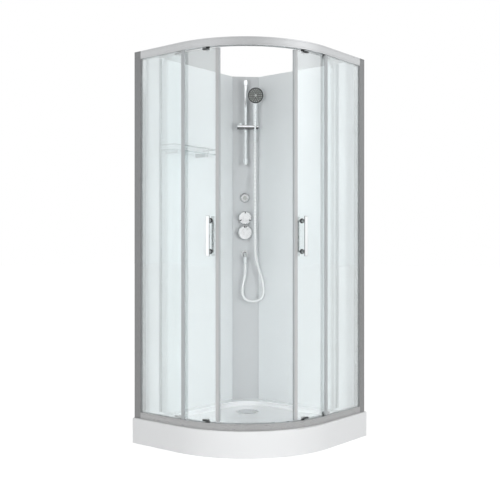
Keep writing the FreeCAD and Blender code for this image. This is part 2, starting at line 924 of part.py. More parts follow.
def rails():
    """Top and bottom rail. Their outer walls reach past the rest, and hide the slots for the glass."""
    slot_start = d.rail_outer_wall
    low, high = TOP_RAIL, d.height
    slot_top = low + d.glass_bite + d.glass_play
    swept_rail("top_rail", outer_face(low, high) + [
        (slot_start, low),
        (slot_start, slot_top),
        (SLOT_END, slot_top),
        (SLOT_END, TRACK_UNDERSIDE),
        (d.rail_depth, TRACK_UNDERSIDE),
        (d.rail_depth, TRACK),
        (CHANNEL, TRACK),
        (CHANNEL, high - d.rail_cap),
        (d.rail_depth, high - d.rail_cap),
        (d.rail_depth, high),
    ], LEFT, REAR)
    low, high = d.tray_height, BOTTOM_RAIL
    slot_bottom = high - d.glass_bite - d.glass_play
    inner_top = high - d.rail_lip
    swept_rail("bottom_rail", outer_face(low, high) + [
        (d.rail_depth, low),
        (d.rail_depth, low + d.rail_flange),
        (CHANNEL, low + d.rail_flange),
        (CHANNEL, inner_top - d.rail_flange),
        (d.rail_depth, inner_top - d.rail_flange),
        (d.rail_depth, inner_top),
        (SLOT_END, inner_top),
        (SLOT_END, slot_bottom),
        (slot_start, slot_bottom),
        (slot_start, high),
    ], POST_X, POST_Y)


def posts():
    """Hollow posts at the two free ends, and the plugs that close them and take the rails' screws."""
    left = ((LEFT, RAIL_Y), (POST_X, RAIL_Y + d.rail_depth))
    right = ((RAIL_X - d.rail_depth, POST_Y), (RAIL_X, REAR))
    left_lip = ((LEFT - d.overrun, RAIL_Y - d.overrun), (POST_X + d.overrun, RAIL_Y + SLOT_END))
    right_lip = ((RAIL_X - SLOT_END, POST_Y - d.overrun), (RAIL_X + d.overrun, REAR + d.overrun))
    wall = d.post_wall
    plugs = []
    for label, (low, high), (lip_low, lip_high) in (
        ("left_post", left, left_lip),
        ("right_post", right, right_lip),
    ):
        outer = box((*low, d.tray_height), (*high, TRACK_UNDERSIDE))
        inner = box(
            (low[0] + wall, low[1] + wall, d.tray_height - d.overrun),
            (high[0] - wall, high[1] - wall, TRACK_UNDERSIDE + d.overrun),
        )
        lip = box((*lip_low, TOP_RAIL), (*lip_high, TRACK_UNDERSIDE + d.overrun))
        node(label, cut(outer, inner, lip))
        for bottom in (d.tray_height, TOP_RAIL - d.plug_length):
            plugs.append(box(
                (low[0] + wall, low[1] + wall, bottom),
                (high[0] - wall, high[1] - wall, bottom + d.plug_length),
            ))
    node("post_plugs", group(*plugs))


def fixed_panes():
    """Flat panes on the straight stretches, with a gasket at the post and a lipped seal on the free edge."""
    low = BOTTOM_RAIL - d.glass_bite
    high = TOP_RAIL + d.glass_bite
    outer = d.rail_outer_wall + d.glass_play
    inner = outer + d.glass
    clear_low, clear_high = BOTTOM_RAIL + d.seat_gap, TOP_RAIL - d.seat_gap
    left_end = ARC_X + d.left_glass_end - d.seal_width
    right_end = ARC_Y + d.right_glass_end + d.seal_width
    left_start = POST_X + d.gasket_width / 2
    right_start = POST_Y - d.gasket_width / 2
    left_pane = box((left_start, RAIL_Y + outer, low), (left_end, RAIL_Y + inner, high))
    right_pane = box((RAIL_X - inner, right_end, low), (RAIL_X - outer, right_start, high))
    node("left_fixed_pane", group(left_pane))
    node("right_fixed_pane", group(right_pane))
    gaskets = []
    side = (d.gasket_depth - d.glass) / 2
    deep = d.gasket_width / 2
    strip = box(
        (POST_X, RAIL_Y + outer - side, clear_low),
        (POST_X + d.gasket_width, RAIL_Y + inner + side, clear_high),
    )
    groove = box(
        (POST_X + deep, RAIL_Y + outer, low - d.overrun),
        (POST_X + d.gasket_width + d.overrun, RAIL_Y + inner, high + d.overrun),
    )
    gaskets.append(cut(strip, groove))
    strip = box(
        (RAIL_X - inner - side, POST_Y - d.gasket_width, clear_low),
        (RAIL_X - outer + side, POST_Y, clear_high),
    )
    groove = box(
        (RAIL_X - inner, POST_Y - d.gasket_width - d.overrun, low - d.overrun),
        (RAIL_X - outer, POST_Y - deep, high + d.overrun),
    )
    gaskets.append(cut(strip, groove))
    node("pane_gaskets", group(*gaskets))
    tip = left_end + d.seal_width
    left_seal = prism("left_edge_seal", [
        (left_end, RAIL_Y + outer),
        (tip, RAIL_Y + outer),
        (tip, RAIL_Y + inner + d.seal_lip),
        (tip - d.seal_lip_width, RAIL_Y + inner + d.seal_lip),
        (tip - d.seal_lip_width, RAIL_Y + inner),
        (left_end, RAIL_Y + inner),
    ], clear_low, clear_high)
    tip = right_end - d.seal_width
    right_seal = prism("right_edge_seal", [
        (RAIL_X - outer, right_end),
        (RAIL_X - outer, tip),
        (RAIL_X - inner - d.seal_lip, tip),
        (RAIL_X - inner - d.seal_lip, tip + d.seal_lip_width),
        (RAIL_X - inner, tip + d.seal_lip_width),
        (RAIL_X - inner, right_end),
    ], clear_low, clear_high)
    node("edge_seals", group(left_seal, right_seal))


def door_stops():
    """Bumpers in the top rail's channel, where the trailing wheels end their run."""
    past = arc_turn(d.widest_opening + d.trailing_roller, PANE_MIDDLE) - HALF_ARC_TURN
    wheel_reach = d.top_wheel_radius * cosine(past) + d.wheel_width / 2 * sine(past)
    run = PANE_OUT * sine(past) + wheel_reach + d.seat_gap
    low = TRACK
    high = d.height - d.rail_cap
    left = box(
        (ARC_X - run - d.stop_length, RAIL_Y + CHANNEL, low),
        (ARC_X - run, RAIL_Y + d.rail_depth, high),
    )
    right = box(
        (RAIL_X - d.rail_depth, ARC_Y + run, low),
        (RAIL_X - CHANNEL, ARC_Y + run + d.stop_length, high),
    )
    node("door_stops", group(left, right))


# Doors

def roller_carrier(level, up):
    """One carrier in the arc's frame: a clamp over the pane's edge, an arm round the rail, and an axle."""
    edge = PANE_HIGH if up > 0 else PANE_LOW
    rail_in = RAIL_RADIUS - d.rail_depth
    back = rail_in - d.carrier_gap - d.carrier_plate
    deep = edge - up * d.clamp_height
    half_clamp = d.clamp_width / 2
    half_arm = d.carrier_width / 2

    def block(x_low, x_high, half, first, last):
        low, high = (first, last) if up > 0 else (last, first)
        return box((x_low, -half, low), (x_high, half, high))

    clamp = block(
        PANE_IN - d.clamp_plate, PANE_OUT + d.clamp_plate, half_clamp, deep, edge + up * d.clamp_bridge
    )
    slot = block(
        PANE_IN - d.clamp_play, PANE_OUT + d.clamp_play, half_clamp + d.overrun,
        deep - up * d.overrun, edge + up * d.clamp_play,
    )
    arm = block(back, PANE_IN - d.clamp_plate + d.clamp_play, half_arm, deep, deep + up * d.carrier_arm)
    upright = block(back, back + d.carrier_plate, half_arm, deep, level + up * d.carrier_head)
    wheel_out = PANE_OUT + d.wheel_width / 2
    axle_end = wheel_out + d.seat_gap + d.axle_head
    axle = rod(d.axle_radius, axle_end - back, (back, 0, level), "radial")
    head = rod(d.axle_head_radius, d.axle_head, (axle_end - d.axle_head, 0, level), "radial")
    return cut(fuse(clamp, arm, upright, axle, head), slot)


def door(side, sense, opening):
    """A curved door. Its places run from its closing edge, and the sense is the way it opens about +Z."""
    lead = DIAGONAL_TURN + sense * arc_turn(opening, PANE_MIDDLE)

    def at(turn):
        return lead + sense * turn

    rim = PANE_MIDDLE
    magnet_end = arc_turn(d.meeting_gap + d.magnet_width, rim)
    profile_turn = magnet_end + arc_turn(d.profile_width / 2, rim)
    pane_start = magnet_end + arc_turn(d.profile_width - d.profile_bite, rim)
    pane_end = HALF_ARC_TURN + arc_turn(d.door_overlap - d.trailing_seal_width, rim)
    handle_turn = arc_turn(d.handle_place, rim)

    pane = curved_sheet(f"{side}_pane_sheet", PANE_IN, PANE_OUT, PANE_LOW, PANE_HIGH, pane_end - pane_start)
    on_arc(pane, at(pane_start) if sense > 0 else at(pane_end))
    holes = []
    for level in (-d.handle_spacing / 2, d.handle_spacing / 2):
        hole = rod(d.grip_stud_radius + d.running_gap, d.glass + 2 * d.overrun,
                   (PANE_IN - d.overrun, 0, d.handle_level + level), "radial")
        holes.append(on_arc(group(hole), at(handle_turn)))
    node(f"{side}_door_pane", cut(pane, *holes))

    outer_half = d.profile_depth / 2
    slot_half = d.glass / 2 + d.profile_play
    half = d.profile_width / 2
    floor = half - d.profile_bite - d.profile_play
    profile = prism(f"{side}_door_profile", [
        (rim - outer_half, -sense * half),
        (rim + outer_half, -sense * half),
        (rim + outer_half, sense * half),
        (rim + slot_half, sense * half),
        (rim + slot_half, sense * floor),
        (rim - slot_half, sense * floor),
        (rim - slot_half, sense * half),
        (rim - outer_half, sense * half),
    ], PANE_LOW, PANE_HIGH)
    node(f"{side}_door_profile", on_arc(profile, at(profile_turn)))

    start = -half - d.magnet_width
    low, high = (start, -half) if sense > 0 else (half, -start)
    magnet = box((rim - d.magnet_depth / 2, low, PANE_LOW), (rim + d.magnet_depth / 2, high, PANE_HIGH))
    node(f"{side}_magnet_seal", on_arc(group(magnet), at(profile_turn)))

    lip_base = d.trailing_seal_width - d.seal_lip_width
    seal = prism(f"{side}_trailing_seal", [
        (PANE_IN, 0),
        (PANE_OUT, 0),
        (PANE_OUT, sense * lip_base),
        (PANE_OUT + d.trailing_lip, sense * lip_base),
        (PANE_OUT + d.trailing_lip, sense * d.trailing_seal_width),
        (PANE_IN, sense * d.trailing_seal_width),
    ], PANE_LOW, PANE_HIGH)
    node(f"{side}_trailing_seal", on_arc(seal, at(pane_end)))

    door_handles(side, at(handle_turn))
    door_rollers(side, at)


def door_handles(side, turn):
    bar_in = PANE_OUT + d.handle_standoff
    half_width, half_length = d.handle_width / 2, d.handle_length / 2
    levels = (d.handle_level - d.handle_spacing / 2, d.handle_level + d.handle_spacing / 2)
    bar = rounded_box(
        (bar_in, -half_width, d.handle_level - half_length),
        (bar_in + d.handle_thickness, half_width, d.handle_level + half_length),
        d.handle_round,
    )
    leg_length = d.handle_standoff + d.handle_round
    legs = [rod(d.handle_post_radius, leg_length, (PANE_OUT, 0, z), "radial") for z in levels]
    node(f"{side}_outer_handle", on_arc(fuse(bar, *legs), turn))

    reach = PANE_IN - d.grip_standoff
    grip = rod(d.grip_radius, d.handle_spacing, (reach, 0, levels[0]))
    legs = [rod(d.grip_radius, d.grip_standoff, (reach, 0, z), "radial") for z in levels]
    knees = [ball(d.grip_radius, (reach, 0, z)) for z in levels]
    stud_start = PANE_IN - d.grip_radius
    studs = [rod(d.grip_stud_radius, PANE_OUT - stud_start, (stud_start, 0, z), "radial") for z in levels]
    node(f"{side}_inner_handle", on_arc(fuse(grip, *legs, *knees, *studs), turn))


def door_rollers(side, at):
    top_level = TRACK + d.top_wheel_radius + d.seat_gap
    bottom_level = (d.tray_height + BOTTOM_RAIL - d.rail_lip) / 2
    carriers = []
    for row, up, level, radius in (
        ("top", 1, top_level, d.top_wheel_radius),
        ("bottom", -1, bottom_level, d.bottom_wheel_radius),
    ):
        for rank, place in (("leading", d.leading_roller), ("trailing", d.trailing_roller)):
            turn = arc_turn(place, PANE_MIDDLE)
            carriers.append(on_arc(group(roller_carrier(level, up)), at(turn)))
            inner = PANE_OUT - d.wheel_width / 2
            tread = rod(radius, d.wheel_width, (inner, 0, level), "radial")
            bore = rod(
                d.axle_radius + d.running_gap,
                d.wheel_width + 2 * d.overrun,
                (inner - d.overrun, 0, level),
                "radial",
            )
            node(f"{side}_{row}_{rank}_wheel", on_arc(cut(tread, bore), at(turn)))
    node(f"{side}_roller_carriers", group(*carriers))


# Shelf

def shelf():
    middle = FRONT + d.shelf_middle
    low_y, high_y = middle - d.shelf_length / 2, middle + d.shelf_length / 2
    front = WALL_X + d.shelf_reach
    top = d.shelf_level + d.glass
    plate = new_body("shelf_plate")
    outline = new_sketch(plate, "XY_Plane", d.shelf_level)
    draw_rounded(outline, (WALL_X, low_y), (front, high_y), (None, d.shelf_round, d.shelf_round, None))
    pad(plate, outline, d.glass)
    node("shelf_plate", plate)

    bar_x = front - d.gallery_inset
    bar_z = top + d.gallery_lift
    low_end, high_end = low_y + d.gallery_inset, high_y - d.gallery_inset
    pieces = [
        rod(d.gallery_radius, high_end - low_end, (bar_x, low_end, bar_z), "rearward"),
        rod(d.gallery_radius, bar_x - WALL_X, (WALL_X, low_end, bar_z), "radial"),
        rod(d.gallery_radius, bar_x - WALL_X, (WALL_X, high_end, bar_z), "radial"),
    ]
    pieces += [ball(d.gallery_radius, (bar_x, y, bar_z)) for y in (low_end, high_end)]
    for offset in (-d.gallery_post_spacing / 2, d.gallery_post_spacing / 2):
        pieces.append(rod(d.gallery_post_radius, d.gallery_lift, (bar_x, middle + offset, top)))
    node("shelf_gallery", fuse(*pieces))

    arms = []
    for offset in (-d.arm_spacing / 2, d.arm_spacing / 2):
        y = middle + offset
        arms.append(box(
            (WALL_X, y - d.arm_width / 2, d.shelf_level - d.arm_height),
            (WALL_X + d.arm_reach, y + d.arm_width / 2, d.shelf_level),
        ))
    node("shelf_arms", group(*arms))


# Shower set on the column, made in the column's frame: right along the face, back into it, and up

def riser():
    x, y = d.fittings_shift, -d.riser_standoff
    bar = turned("riser_bar", [
        (0, RISER_BOTTOM),
        (d.riser_radius, RISER_BOTTOM),
        (d.riser_radius, RISER_TOP),
        (0, RISER_TOP),
    ], [(1, d.riser_round), (2, d.riser_round)])
    turn_about(bar, *column_point(x, d.riser_standoff), COLUMN_TURN)
    node("riser_bar", bar)
    brackets = []
    for level in (RISER_BOTTOM + d.riser_foot, RISER_TOP - d.riser_foot):
        arm = rod(d.riser_bracket_radius, d.riser_standoff, (x, 0, level), "out")
        low = level - d.riser_collar_height / 2
        collar = rod(d.riser_collar, d.riser_collar_height, (x, y, low))
        bore_length = d.riser_collar_height + 2 * d.overrun
        bore = rod(d.riser_radius + d.running_gap, bore_length, (x, y, low - d.overrun))
        brackets.append(cut(fuse(arm, collar), bore))
    node("riser_brackets", on_column(group(*brackets)))


def slider():
    """The holder on the riser: a flat bar with a bore for the riser and an open cup for the hand shower."""
    x, y = d.fittings_shift, -d.riser_standoff
    low, high = SLIDER_LEVEL, SLIDER_LEVEL + d.slider_height
    slab = rounded_box(
        (x - d.slider_left, y - d.slider_front, low),
        (x + d.slider_right, y + d.slider_back, high),
        d.slider_round,
    )
    bore = rod(d.riser_radius + d.slider_play, d.slider_height + 2 * d.overrun, (x, y, low - d.overrun))
    cup_x, cup_y = x + d.shower_right, y - d.shower_forward
    cup = handle_cone(cup_x, cup_y, low - d.overrun, high + d.overrun, d.holder_play)
    mouth = box(
        (cup_x - d.hose_radius - d.holder_play, y - d.slider_front - d.overrun, low - d.overrun),
        (cup_x + d.hose_radius + d.holder_play, cup_y, high + d.overrun),
    )
    stem_x = x - d.clamp_knob_inset
    stem_hole = rod(
        d.clamp_stem_radius + d.running_gap, d.clamp_stem_length + d.overrun,
        (stem_x, y, high - d.clamp_stem_length),
    )
    node("slider", on_column(cut(slab, bore, cup, mouth, stem_hole)))

    knob = turned("slider_knob", [
        (0, high - d.clamp_stem_length + d.seat_gap),
        (d.clamp_stem_radius, high - d.clamp_stem_length + d.seat_gap),
        (d.clamp_stem_radius, high + d.seat_gap),
        (d.clamp_knob_radius, high + d.seat_gap),
        (d.clamp_knob_radius, high + d.seat_gap + d.clamp_knob_height),
        (0, high + d.seat_gap + d.clamp_knob_height),
    ], [(4, d.riser_round)])
    turn_about(knob, *column_point(stem_x, d.riser_standoff), COLUMN_TURN)
    node("slider_knob", knob)


def handle_radius(level):
    """The hand shower's handle is a straight cone that starts at the slider's underside."""
    rise = (d.handle_top_radius - d.handle_bottom_radius) / d.handle_taper_length
    return d.handle_bottom_radius + (as_size(level) - SLIDER_LEVEL) * rise


def handle_cone(x, y, low, high, play):
    return taper(handle_radius(low) + play, handle_radius(high) + play, as_size(high) - low, (x, y, low))


def hand_shower():
    side = d.fittings_shift + d.shower_right
    out = d.riser_standoff + d.shower_forward
    top = SLIDER_LEVEL + d.handle_taper_length
    centre = top + d.head_neck_rise
    stick = turned("handle_stick", [
        (0, SLIDER_LEVEL),
        (d.handle_bottom_radius, SLIDER_LEVEL),
        (d.handle_top_radius, top),
        (0, top),
    ])
    turn_about(stick, *column_point(side, out), COLUMN_TURN)
    head = turned("shower_head", [
        (0, -d.head_depth / 2),
        (d.head_radius, -d.head_depth / 2),
        (d.head_radius, d.head_depth / 2),
        (d.face_radius, d.head_depth / 2),
        (d.face_radius, d.head_depth / 2 - d.face_depth),
        (0, d.head_depth / 2 - d.face_depth),
    ], [(1, d.head_round)])
    head_out = out + d.head_forward
    face_out(head, side, head_out, centre, d.head_tilt_angle)
    node("hand_shower", fuse(stick, head))
    face = turned("spray_face", [
        (0, d.head_depth / 2 - d.face_depth),
        (d.face_radius, d.head_depth / 2 - d.face_depth),
        (d.face_radius, d.head_depth / 2),
        (0, d.head_depth / 2),
    ])
    node("spray_face", face_out(face, side, head_out, centre, d.head_tilt_angle))
    bore = d.hose_radius + d.running_gap
    cone = turned("hose_cone", [
        (bore, SLIDER_LEVEL - d.cone_length),
        (d.cone_radius, SLIDER_LEVEL - d.cone_length),
        (d.cone_top_radius, SLIDER_LEVEL),
        (bore, SLIDER_LEVEL),
    ])
    turn_about(cone, *column_point(side, out), COLUMN_TURN)
    node("hose_cone", cone)


def hose_wire():
    """Straight runs between the route's places, joined by arcs as wide as the shorter run allows."""
    hand_side, hand_out = d.shower_right, d.riser_standoff + d.shower_forward
    places = [(hand_side, hand_out, SLIDER_LEVEL - below) for below in (d.hose_seat, d.hose_straight)]
    places += [(side, out, OUTLET_MOUTH + above) for side, out, above in HOSE_LOOP]
    points = []
    for side, out, level in places:
        x, y = column_point(d.fittings_shift + side, out)
        points.append(FreeCAD.Vector(x.value, y.value, level.value))
    edges, radii = [], []
    start = points[0]
    for before, corner, after in zip(points, points[1:], points[2:]):
        back, ahead = before - corner, after - corner
        turn = math.pi - back.getAngle(ahead)
        reach = HOSE_BEND_SHARE * min(back.Length, ahead.Length)
        radius = reach / math.tan(turn / 2)
        radii.append(radius)
        back.normalize()
        ahead.normalize()
        first, last = corner + back * reach, corner + ahead * reach
        inward = (back + ahead).normalize()
        middle = corner + inward * (math.hypot(radius, reach) - radius)
        edges += [Part.LineSegment(start, first).toShape(), Part.Arc(first, middle, last).toShape()]
        start = last
    edges.append(Part.LineSegment(start, points[-1]).toShape())
    print("hose bends, mm:", ", ".join(f"{radius:.0f}" for radius in radii))
    return Part.Wire(edges), points[1] - points[0]


def hose():
    wire, heading = hose_wire()
    section = Part.Wire([Part.makeCircle(d.hose_radius.value, wire.Vertexes[0].Point, heading)])
    item = doc.addObject("Part::Feature", "shower_hose")
    item.Shape = wire.makePipeShell([section], True, False)
    item.Placement = FreeCAD.Placement()
    share = item.Shape.Volume / (math.pi * d.hose_radius.value ** 2 * wire.Length)
    print(f"hose length {wire.Length:.0f} mm, volume {share:.4f} of section times length")
    node("shower_hose", item)


def outlet_and_valves():
    x = d.fittings_shift
    flow = rod(d.outlet_radius, d.outlet_standoff, (x, 0, OUTLET_LEVEL), "out")
    drop = rod(d.outlet_radius, d.outlet_drop, (x, -d.outlet_standoff, OUTLET_MOUTH))
    elbow = ball(d.outlet_radius, (x, -d.outlet_standoff, OUTLET_LEVEL))
    node("wall_outlet", on_column(fuse(flow, drop, elbow)))

    top = OUTLET_MOUTH
    bore = d.hose_radius + d.running_gap
    nut = turned("hose_nut", [
        (bore, top - d.nut_length),
        (d.nut_neck_radius, top - d.nut_length),
        (d.nut_radius, top - d.nut_hex_length),
        (d.nut_radius, top),
        (bore, top),
    ])
    turn_about(nut, *column_point(x, d.outlet_standoff), COLUMN_TURN)
    node("hose_nut", nut)

    rosettes = []
    for level, hole in (
        (UPPER_KNOB_LEVEL, d.spindle_radius),
        (LOWER_KNOB_LEVEL, d.spindle_radius),
        (OUTLET_LEVEL, d.outlet_radius),
    ):
        disc = rod(d.rosette_radius, d.rosette_height, (x, 0, level), "out")
        gap = rod(hole + d.running_gap, d.rosette_height + 2 * d.overrun, (x, d.overrun, level), "out")
        rosettes.append(cut(disc, gap))
    node("rosettes", on_column(group(*rosettes)))

    jet = turned("jet_dome", [
        (0, 0),
        (d.jet_radius, 0),
        (d.jet_radius, d.jet_height),
        (0, d.jet_height),
    ], [(2, d.jet_round)])
    node("column_jet", face_out(jet, x, 0, JET_LEVEL))

    manifold()
    three_ways = (0, QUARTER + QUARTER / 3, -QUARTER - QUARTER / 3)
    knob("upper_knob", UPPER_KNOB_LEVEL, d.upper_knob_radius, three_ways)
    pair_turn = arc_turn(d.knob_notch_width, d.lower_knob_radius)
    knob("lower_knob", LOWER_KNOB_LEVEL, d.lower_knob_radius, (-pair_turn.value, pair_turn.value))


def knob(label, level, radius, notch_turns):
    """A round knob on its spindle, with notches cut into its rim from the front."""
    back = d.knob_gap
    front = back + d.knob_depth
    body = turned(f"{label}_blank", [
        (0, -d.spindle_length),
        (d.spindle_radius, -d.spindle_length),
        (d.spindle_radius, back),
        (radius, back),
        (radius, front),
        (0, front),
    ], [(4, d.knob_round)])
    tools = []
    for turn in notch_turns:
        notch = box(
            (-d.knob_notch_width / 2, radius - d.knob_notch_length, front - d.knob_notch_depth),
            (d.knob_notch_width / 2, radius + d.overrun, front + d.overrun),
        )
        tools.append(turn_about(group(notch), 0, 0, turn))
    node(label, face_out(cut(body, *tools), d.fittings_shift, 0, level))


def manifold():
    """Valve body behind the column: a standing tube, a boss for each fitting, and two supply inlets."""
    x = d.fittings_shift
    low = OUTLET_LEVEL - d.manifold_margin
    high = JET_LEVEL + d.manifold_margin
    stem = rod(d.manifold_radius, high - low, (x, d.manifold_back, low))
    bosses, bores = [], []
    for level in (JET_LEVEL, UPPER_KNOB_LEVEL, LOWER_KNOB_LEVEL, OUTLET_LEVEL):
        bosses.append(rod(d.boss_radius, d.manifold_back, (x, d.manifold_back, level), "out"))
    for level in (UPPER_KNOB_LEVEL, LOWER_KNOB_LEVEL):
        deep = d.spindle_length + d.seat_gap
        bores.append(rod(d.spindle_radius + d.running_gap, deep + d.overrun, (x, deep, level), "out"))
    half = d.inlet_spacing / 2
    yoke = rod(d.yoke_radius, d.inlet_spacing, (x - half, d.manifold_back, INLET_LEVEL), "radial")
    mouth = INLET_LEVEL - d.inlet_elbow_drop
    elbow_top = INLET_LEVEL + d.inlet_elbow_radius
    inlets = []
    for side in (-half, half):
        place = (x + side, d.manifold_back)
        inlets.append(rod(d.inlet_elbow_radius, elbow_top - mouth, (*place, mouth)))
        inlets.append(rod(d.inlet_radius, d.inlet_length, (*place, mouth - d.inlet_length)))
    node("valve_manifold", on_column(cut(fuse(stem, *bosses, yoke, *inlets), *bores)))


def build():
    tray_shell()
    support_bars()
    waste()
    walls()
    rails()
    posts()
    fixed_panes()
    door_stops()
    door("left", -1, d.left_opening)
    door("right", 1, d.right_opening)
    shelf()
    riser()
    slider()
    hand_shower()
    hose()
    outlet_and_valves()
    doc.recompute()


def check():
    for item in doc.Objects:
        faults = {"Invalid", "Error"} & set(item.State)
        if faults:
            raise RuntimeError(f"{item.Name} ({item.Label}) failed: {item.State}")
    for item in nodes:
        if item.Shape.isNull() or not item.Shape.isValid() or not item.Shape.Solids:
            raise RuntimeError(f"{item.Label} has no sound shape")


def write():
    os.makedirs("parts", exist_ok=True)
    for item in nodes:
        item.Shape.exportStep(os.path.join("parts", f"{item.Label}.step"))
    print(f"{len(nodes)} sub-parts written")


build()
check()
write()
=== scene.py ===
import math

import bmesh
import bpy
from mathutils import Matrix, Vector


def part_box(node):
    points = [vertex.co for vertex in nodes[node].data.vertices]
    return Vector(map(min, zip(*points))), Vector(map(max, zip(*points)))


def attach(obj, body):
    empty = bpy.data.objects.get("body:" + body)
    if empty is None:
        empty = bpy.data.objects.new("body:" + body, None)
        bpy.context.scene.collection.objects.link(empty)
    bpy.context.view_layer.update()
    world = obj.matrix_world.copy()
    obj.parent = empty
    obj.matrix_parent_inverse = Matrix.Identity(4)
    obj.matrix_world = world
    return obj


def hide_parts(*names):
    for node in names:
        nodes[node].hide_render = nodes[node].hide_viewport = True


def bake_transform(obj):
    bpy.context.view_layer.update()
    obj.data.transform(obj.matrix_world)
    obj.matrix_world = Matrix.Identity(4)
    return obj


# Looks for the corner shower cabin, in metres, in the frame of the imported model: the left back wall
# lies at -X, the right back wall at +Y, and the curved front bulges towards +X and -Y.

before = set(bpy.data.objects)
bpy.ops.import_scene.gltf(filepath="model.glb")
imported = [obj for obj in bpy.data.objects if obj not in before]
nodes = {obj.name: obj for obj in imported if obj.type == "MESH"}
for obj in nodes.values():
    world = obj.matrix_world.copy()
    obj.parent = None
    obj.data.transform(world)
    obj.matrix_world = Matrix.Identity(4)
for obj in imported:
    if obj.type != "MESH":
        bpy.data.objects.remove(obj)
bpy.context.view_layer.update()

MM = 0.001
FULL_TURN = 360
WELD = 1e-6

# Camera: level, where the photograph was taken from
CAMERA_PLACE = (2.6882, -3.3203, 0.9955)
CAMERA_TILT = 90
CAMERA_TURN = 38.994
CAMERA_LENS = 58.61
CAMERA_SHIFT = -0.0036

# Column of fittings: its face is turned by 45 degrees between the two back walls
COLUMN_TURN = 45
COLUMN_FACE = Vector((-0.3555, 0.3805, 0))
FITTINGS_SIDE = -0.005
RIGHTWARD = Vector((math.cos(math.radians(COLUMN_TURN)), math.sin(math.radians(COLUMN_TURN)), 0))
OUTWARD = Vector((RIGHTWARD.y, -RIGHTWARD.x, 0))
UPWARD = Vector((0, 0, 1))

# Hose, as places in the column's frame in millimetres: sideways from the fittings' line, out, up
HOSE_ROUTE = [
    (54.0, 65.0, 1680.0),
    (54.0, 65.0, 1590.0),
    (54.5, 62.0, 1180.0),
    (55.0, 60.0, 1010.0),
    (60.0, 58.0, 948.0),
    (75.0, 54.0, 888.0),
    (96.0, 50.0, 828.0),
    (105.0, 48.0, 780.0),
    (105.0, 46.0, 727.0),
    (74.0, 44.0, 696.0),
    (14.0, 42.0, 696.0),
    (-17.0, 40.0, 727.0),
    (-17.0, 38.0, 780.0),
    (-1.0, 37.0, 842.0),
    (0.0, 36.0, 888.0),
    (0.0, 36.0, 934.0),
]
HOSE_RADIUS = 0.00725
HOSE_ORDER = 3
HOSE_STEPS = 24
HOSE_ROUNDNESS = 6
HOSE_RIB_SCALE = 70

# Hand shower
HEAD_TILT = 14
SPRAY_HALF_DEPTH = 0.0015
SPRAY_SIDES = 48
NOZZLE_RINGS = ((0.015, 6), (0.025, 12), (0.0345, 18))
NOZZLE_RADIUS = 0.0027
NOZZLE_HEIGHT = 0.0018
NOZZLE_TIP_SHARE = 0.8
NOZZLE_SIDES = 10
SPRAY_BUTTON = ((0, 0), (0.0075, 0), (0.0075, 0.0008), (0.0055, 0.0018), (0, 0.0022))
SPRAY_RIM = (
    (0.0390, 0),
    (0.0452, 0),
    (0.0452, 0.0006),
    (0.0430, 0.0014),
    (0.0390, 0.0006),
    (0.0390, 0),
)

# Painted shade in the knobs' notches, as dark blocks, and the nozzle in the jet
KNOB_NOTCHES = {"upper_knob": (0, 120, 240), "lower_knob": (-8.3, 8.3)}
KNOB_FRONT = 0.038
SHADE_BLOCK_HALF_WIDTH = 0.0027
SHADE_BLOCK_LENGTH = 0.011
SHADE_BLOCK_DEPTH = 0.010
SHADE_BLOCK_SINK = 0.0015
SHADE_BLOCK_RIM_GAP = 0.0025
SHADE_BLOCK_ROUND = 0.0008
JET_FRONT = 0.015
JET_NOZZLE = ((0, 0), (0.0115, 0), (0.0115, 0.0008), (0.0090, 0.0020), (0.0050, 0.0014), (0, 0.0012))
JET_SIDES = 32

# Outer handles: a painted darker reflection on their flanks, where the surface turns away from the
# handle's own front, between two cosines of that turn
LEFT_FRONT = (0.43, -0.90, 0)
RIGHT_FRONT = (0.80, -0.60, 0)
FLANK_START = 0.97
FLANK_END = 0.84

# Washers under the legs of the outer handles
ARC_CENTRE = Vector((-0.1, 0.075, 0))
PANE_RADIUS = 0.4895
HANDLE_LEVELS = (0.988, 1.138)
WASHER_BORE = 0.0091
WASHER_RADIUS = 0.0125
WASHER_HEIGHT = 0.0028
WASHER_SIDES = 24

# Posts: painted light makes their inner sides paler, and the rail's ends match their fronts
LEFT_POST_EDGE = -0.380
RIGHT_POST_EDGE = 0.405
POST_PAINTED_LIGHT_DEPTH = 0.0002

# Painted shade on the slider: it is dark below this level of its place at rest
SLIDER_SHADE_LEVEL = 1.7065

# Studio: its tone round the horizon, as pairs of a heading in degrees from +X and a share of daylight.
# What is mirrored is even at the horizon and takes on these tones higher up, and all fades overhead.
DAYLIGHT = (0.975, 0.99, 1.0)
STUDIO_RING = (
    (-180, 0.84), (-132, 0.84), (-96, 1.0), (-66, 0.82), (-38, 0.78),
    (-10, 1.05), (13, 1.42), (28, 1.3), (48, 0.95), (110, 0.80), (180, 0.80),
)
STUDIO_STRENGTH = 1.3
HORIZON_SHARE = 0.87
HORIZON_HEIGHT = 0.2
FADE_START = 0.22
FADE_END = 0.75
OVERHEAD_SHARE = 0.15

# Daylight on dull surfaces, daylight that reaches them through glass, and the grey that glass shows
PLAIN_SHARE = 0.62
INNER_DAYLIGHT = 2.9
SEEN_THROUGH_GLASS = 0.37

# A light path has bounced when it counts more bounces than this
BOUNCED = 0.5

# Floor
WHITE = (1, 1, 1)
FLOOR_TONE = (0.68, 0.68, 0.68)
FLOOR_ROUGHNESS = 0.8
FLOOR_REACH = 40
FLOOR_GLOW = 1.2
FLOOR_GLOW_SHARE = 0.85

# Edges: the angles in degrees from which they are sharp or rounded, and the form of the rounding
NODE_SHARP_ANGLE = 30
PIECE_SHARP_ANGLE = 35
BEVEL_ANGLE = 40
BEVEL_SEGMENTS = 2
BEVEL_PROFILE = 0.5

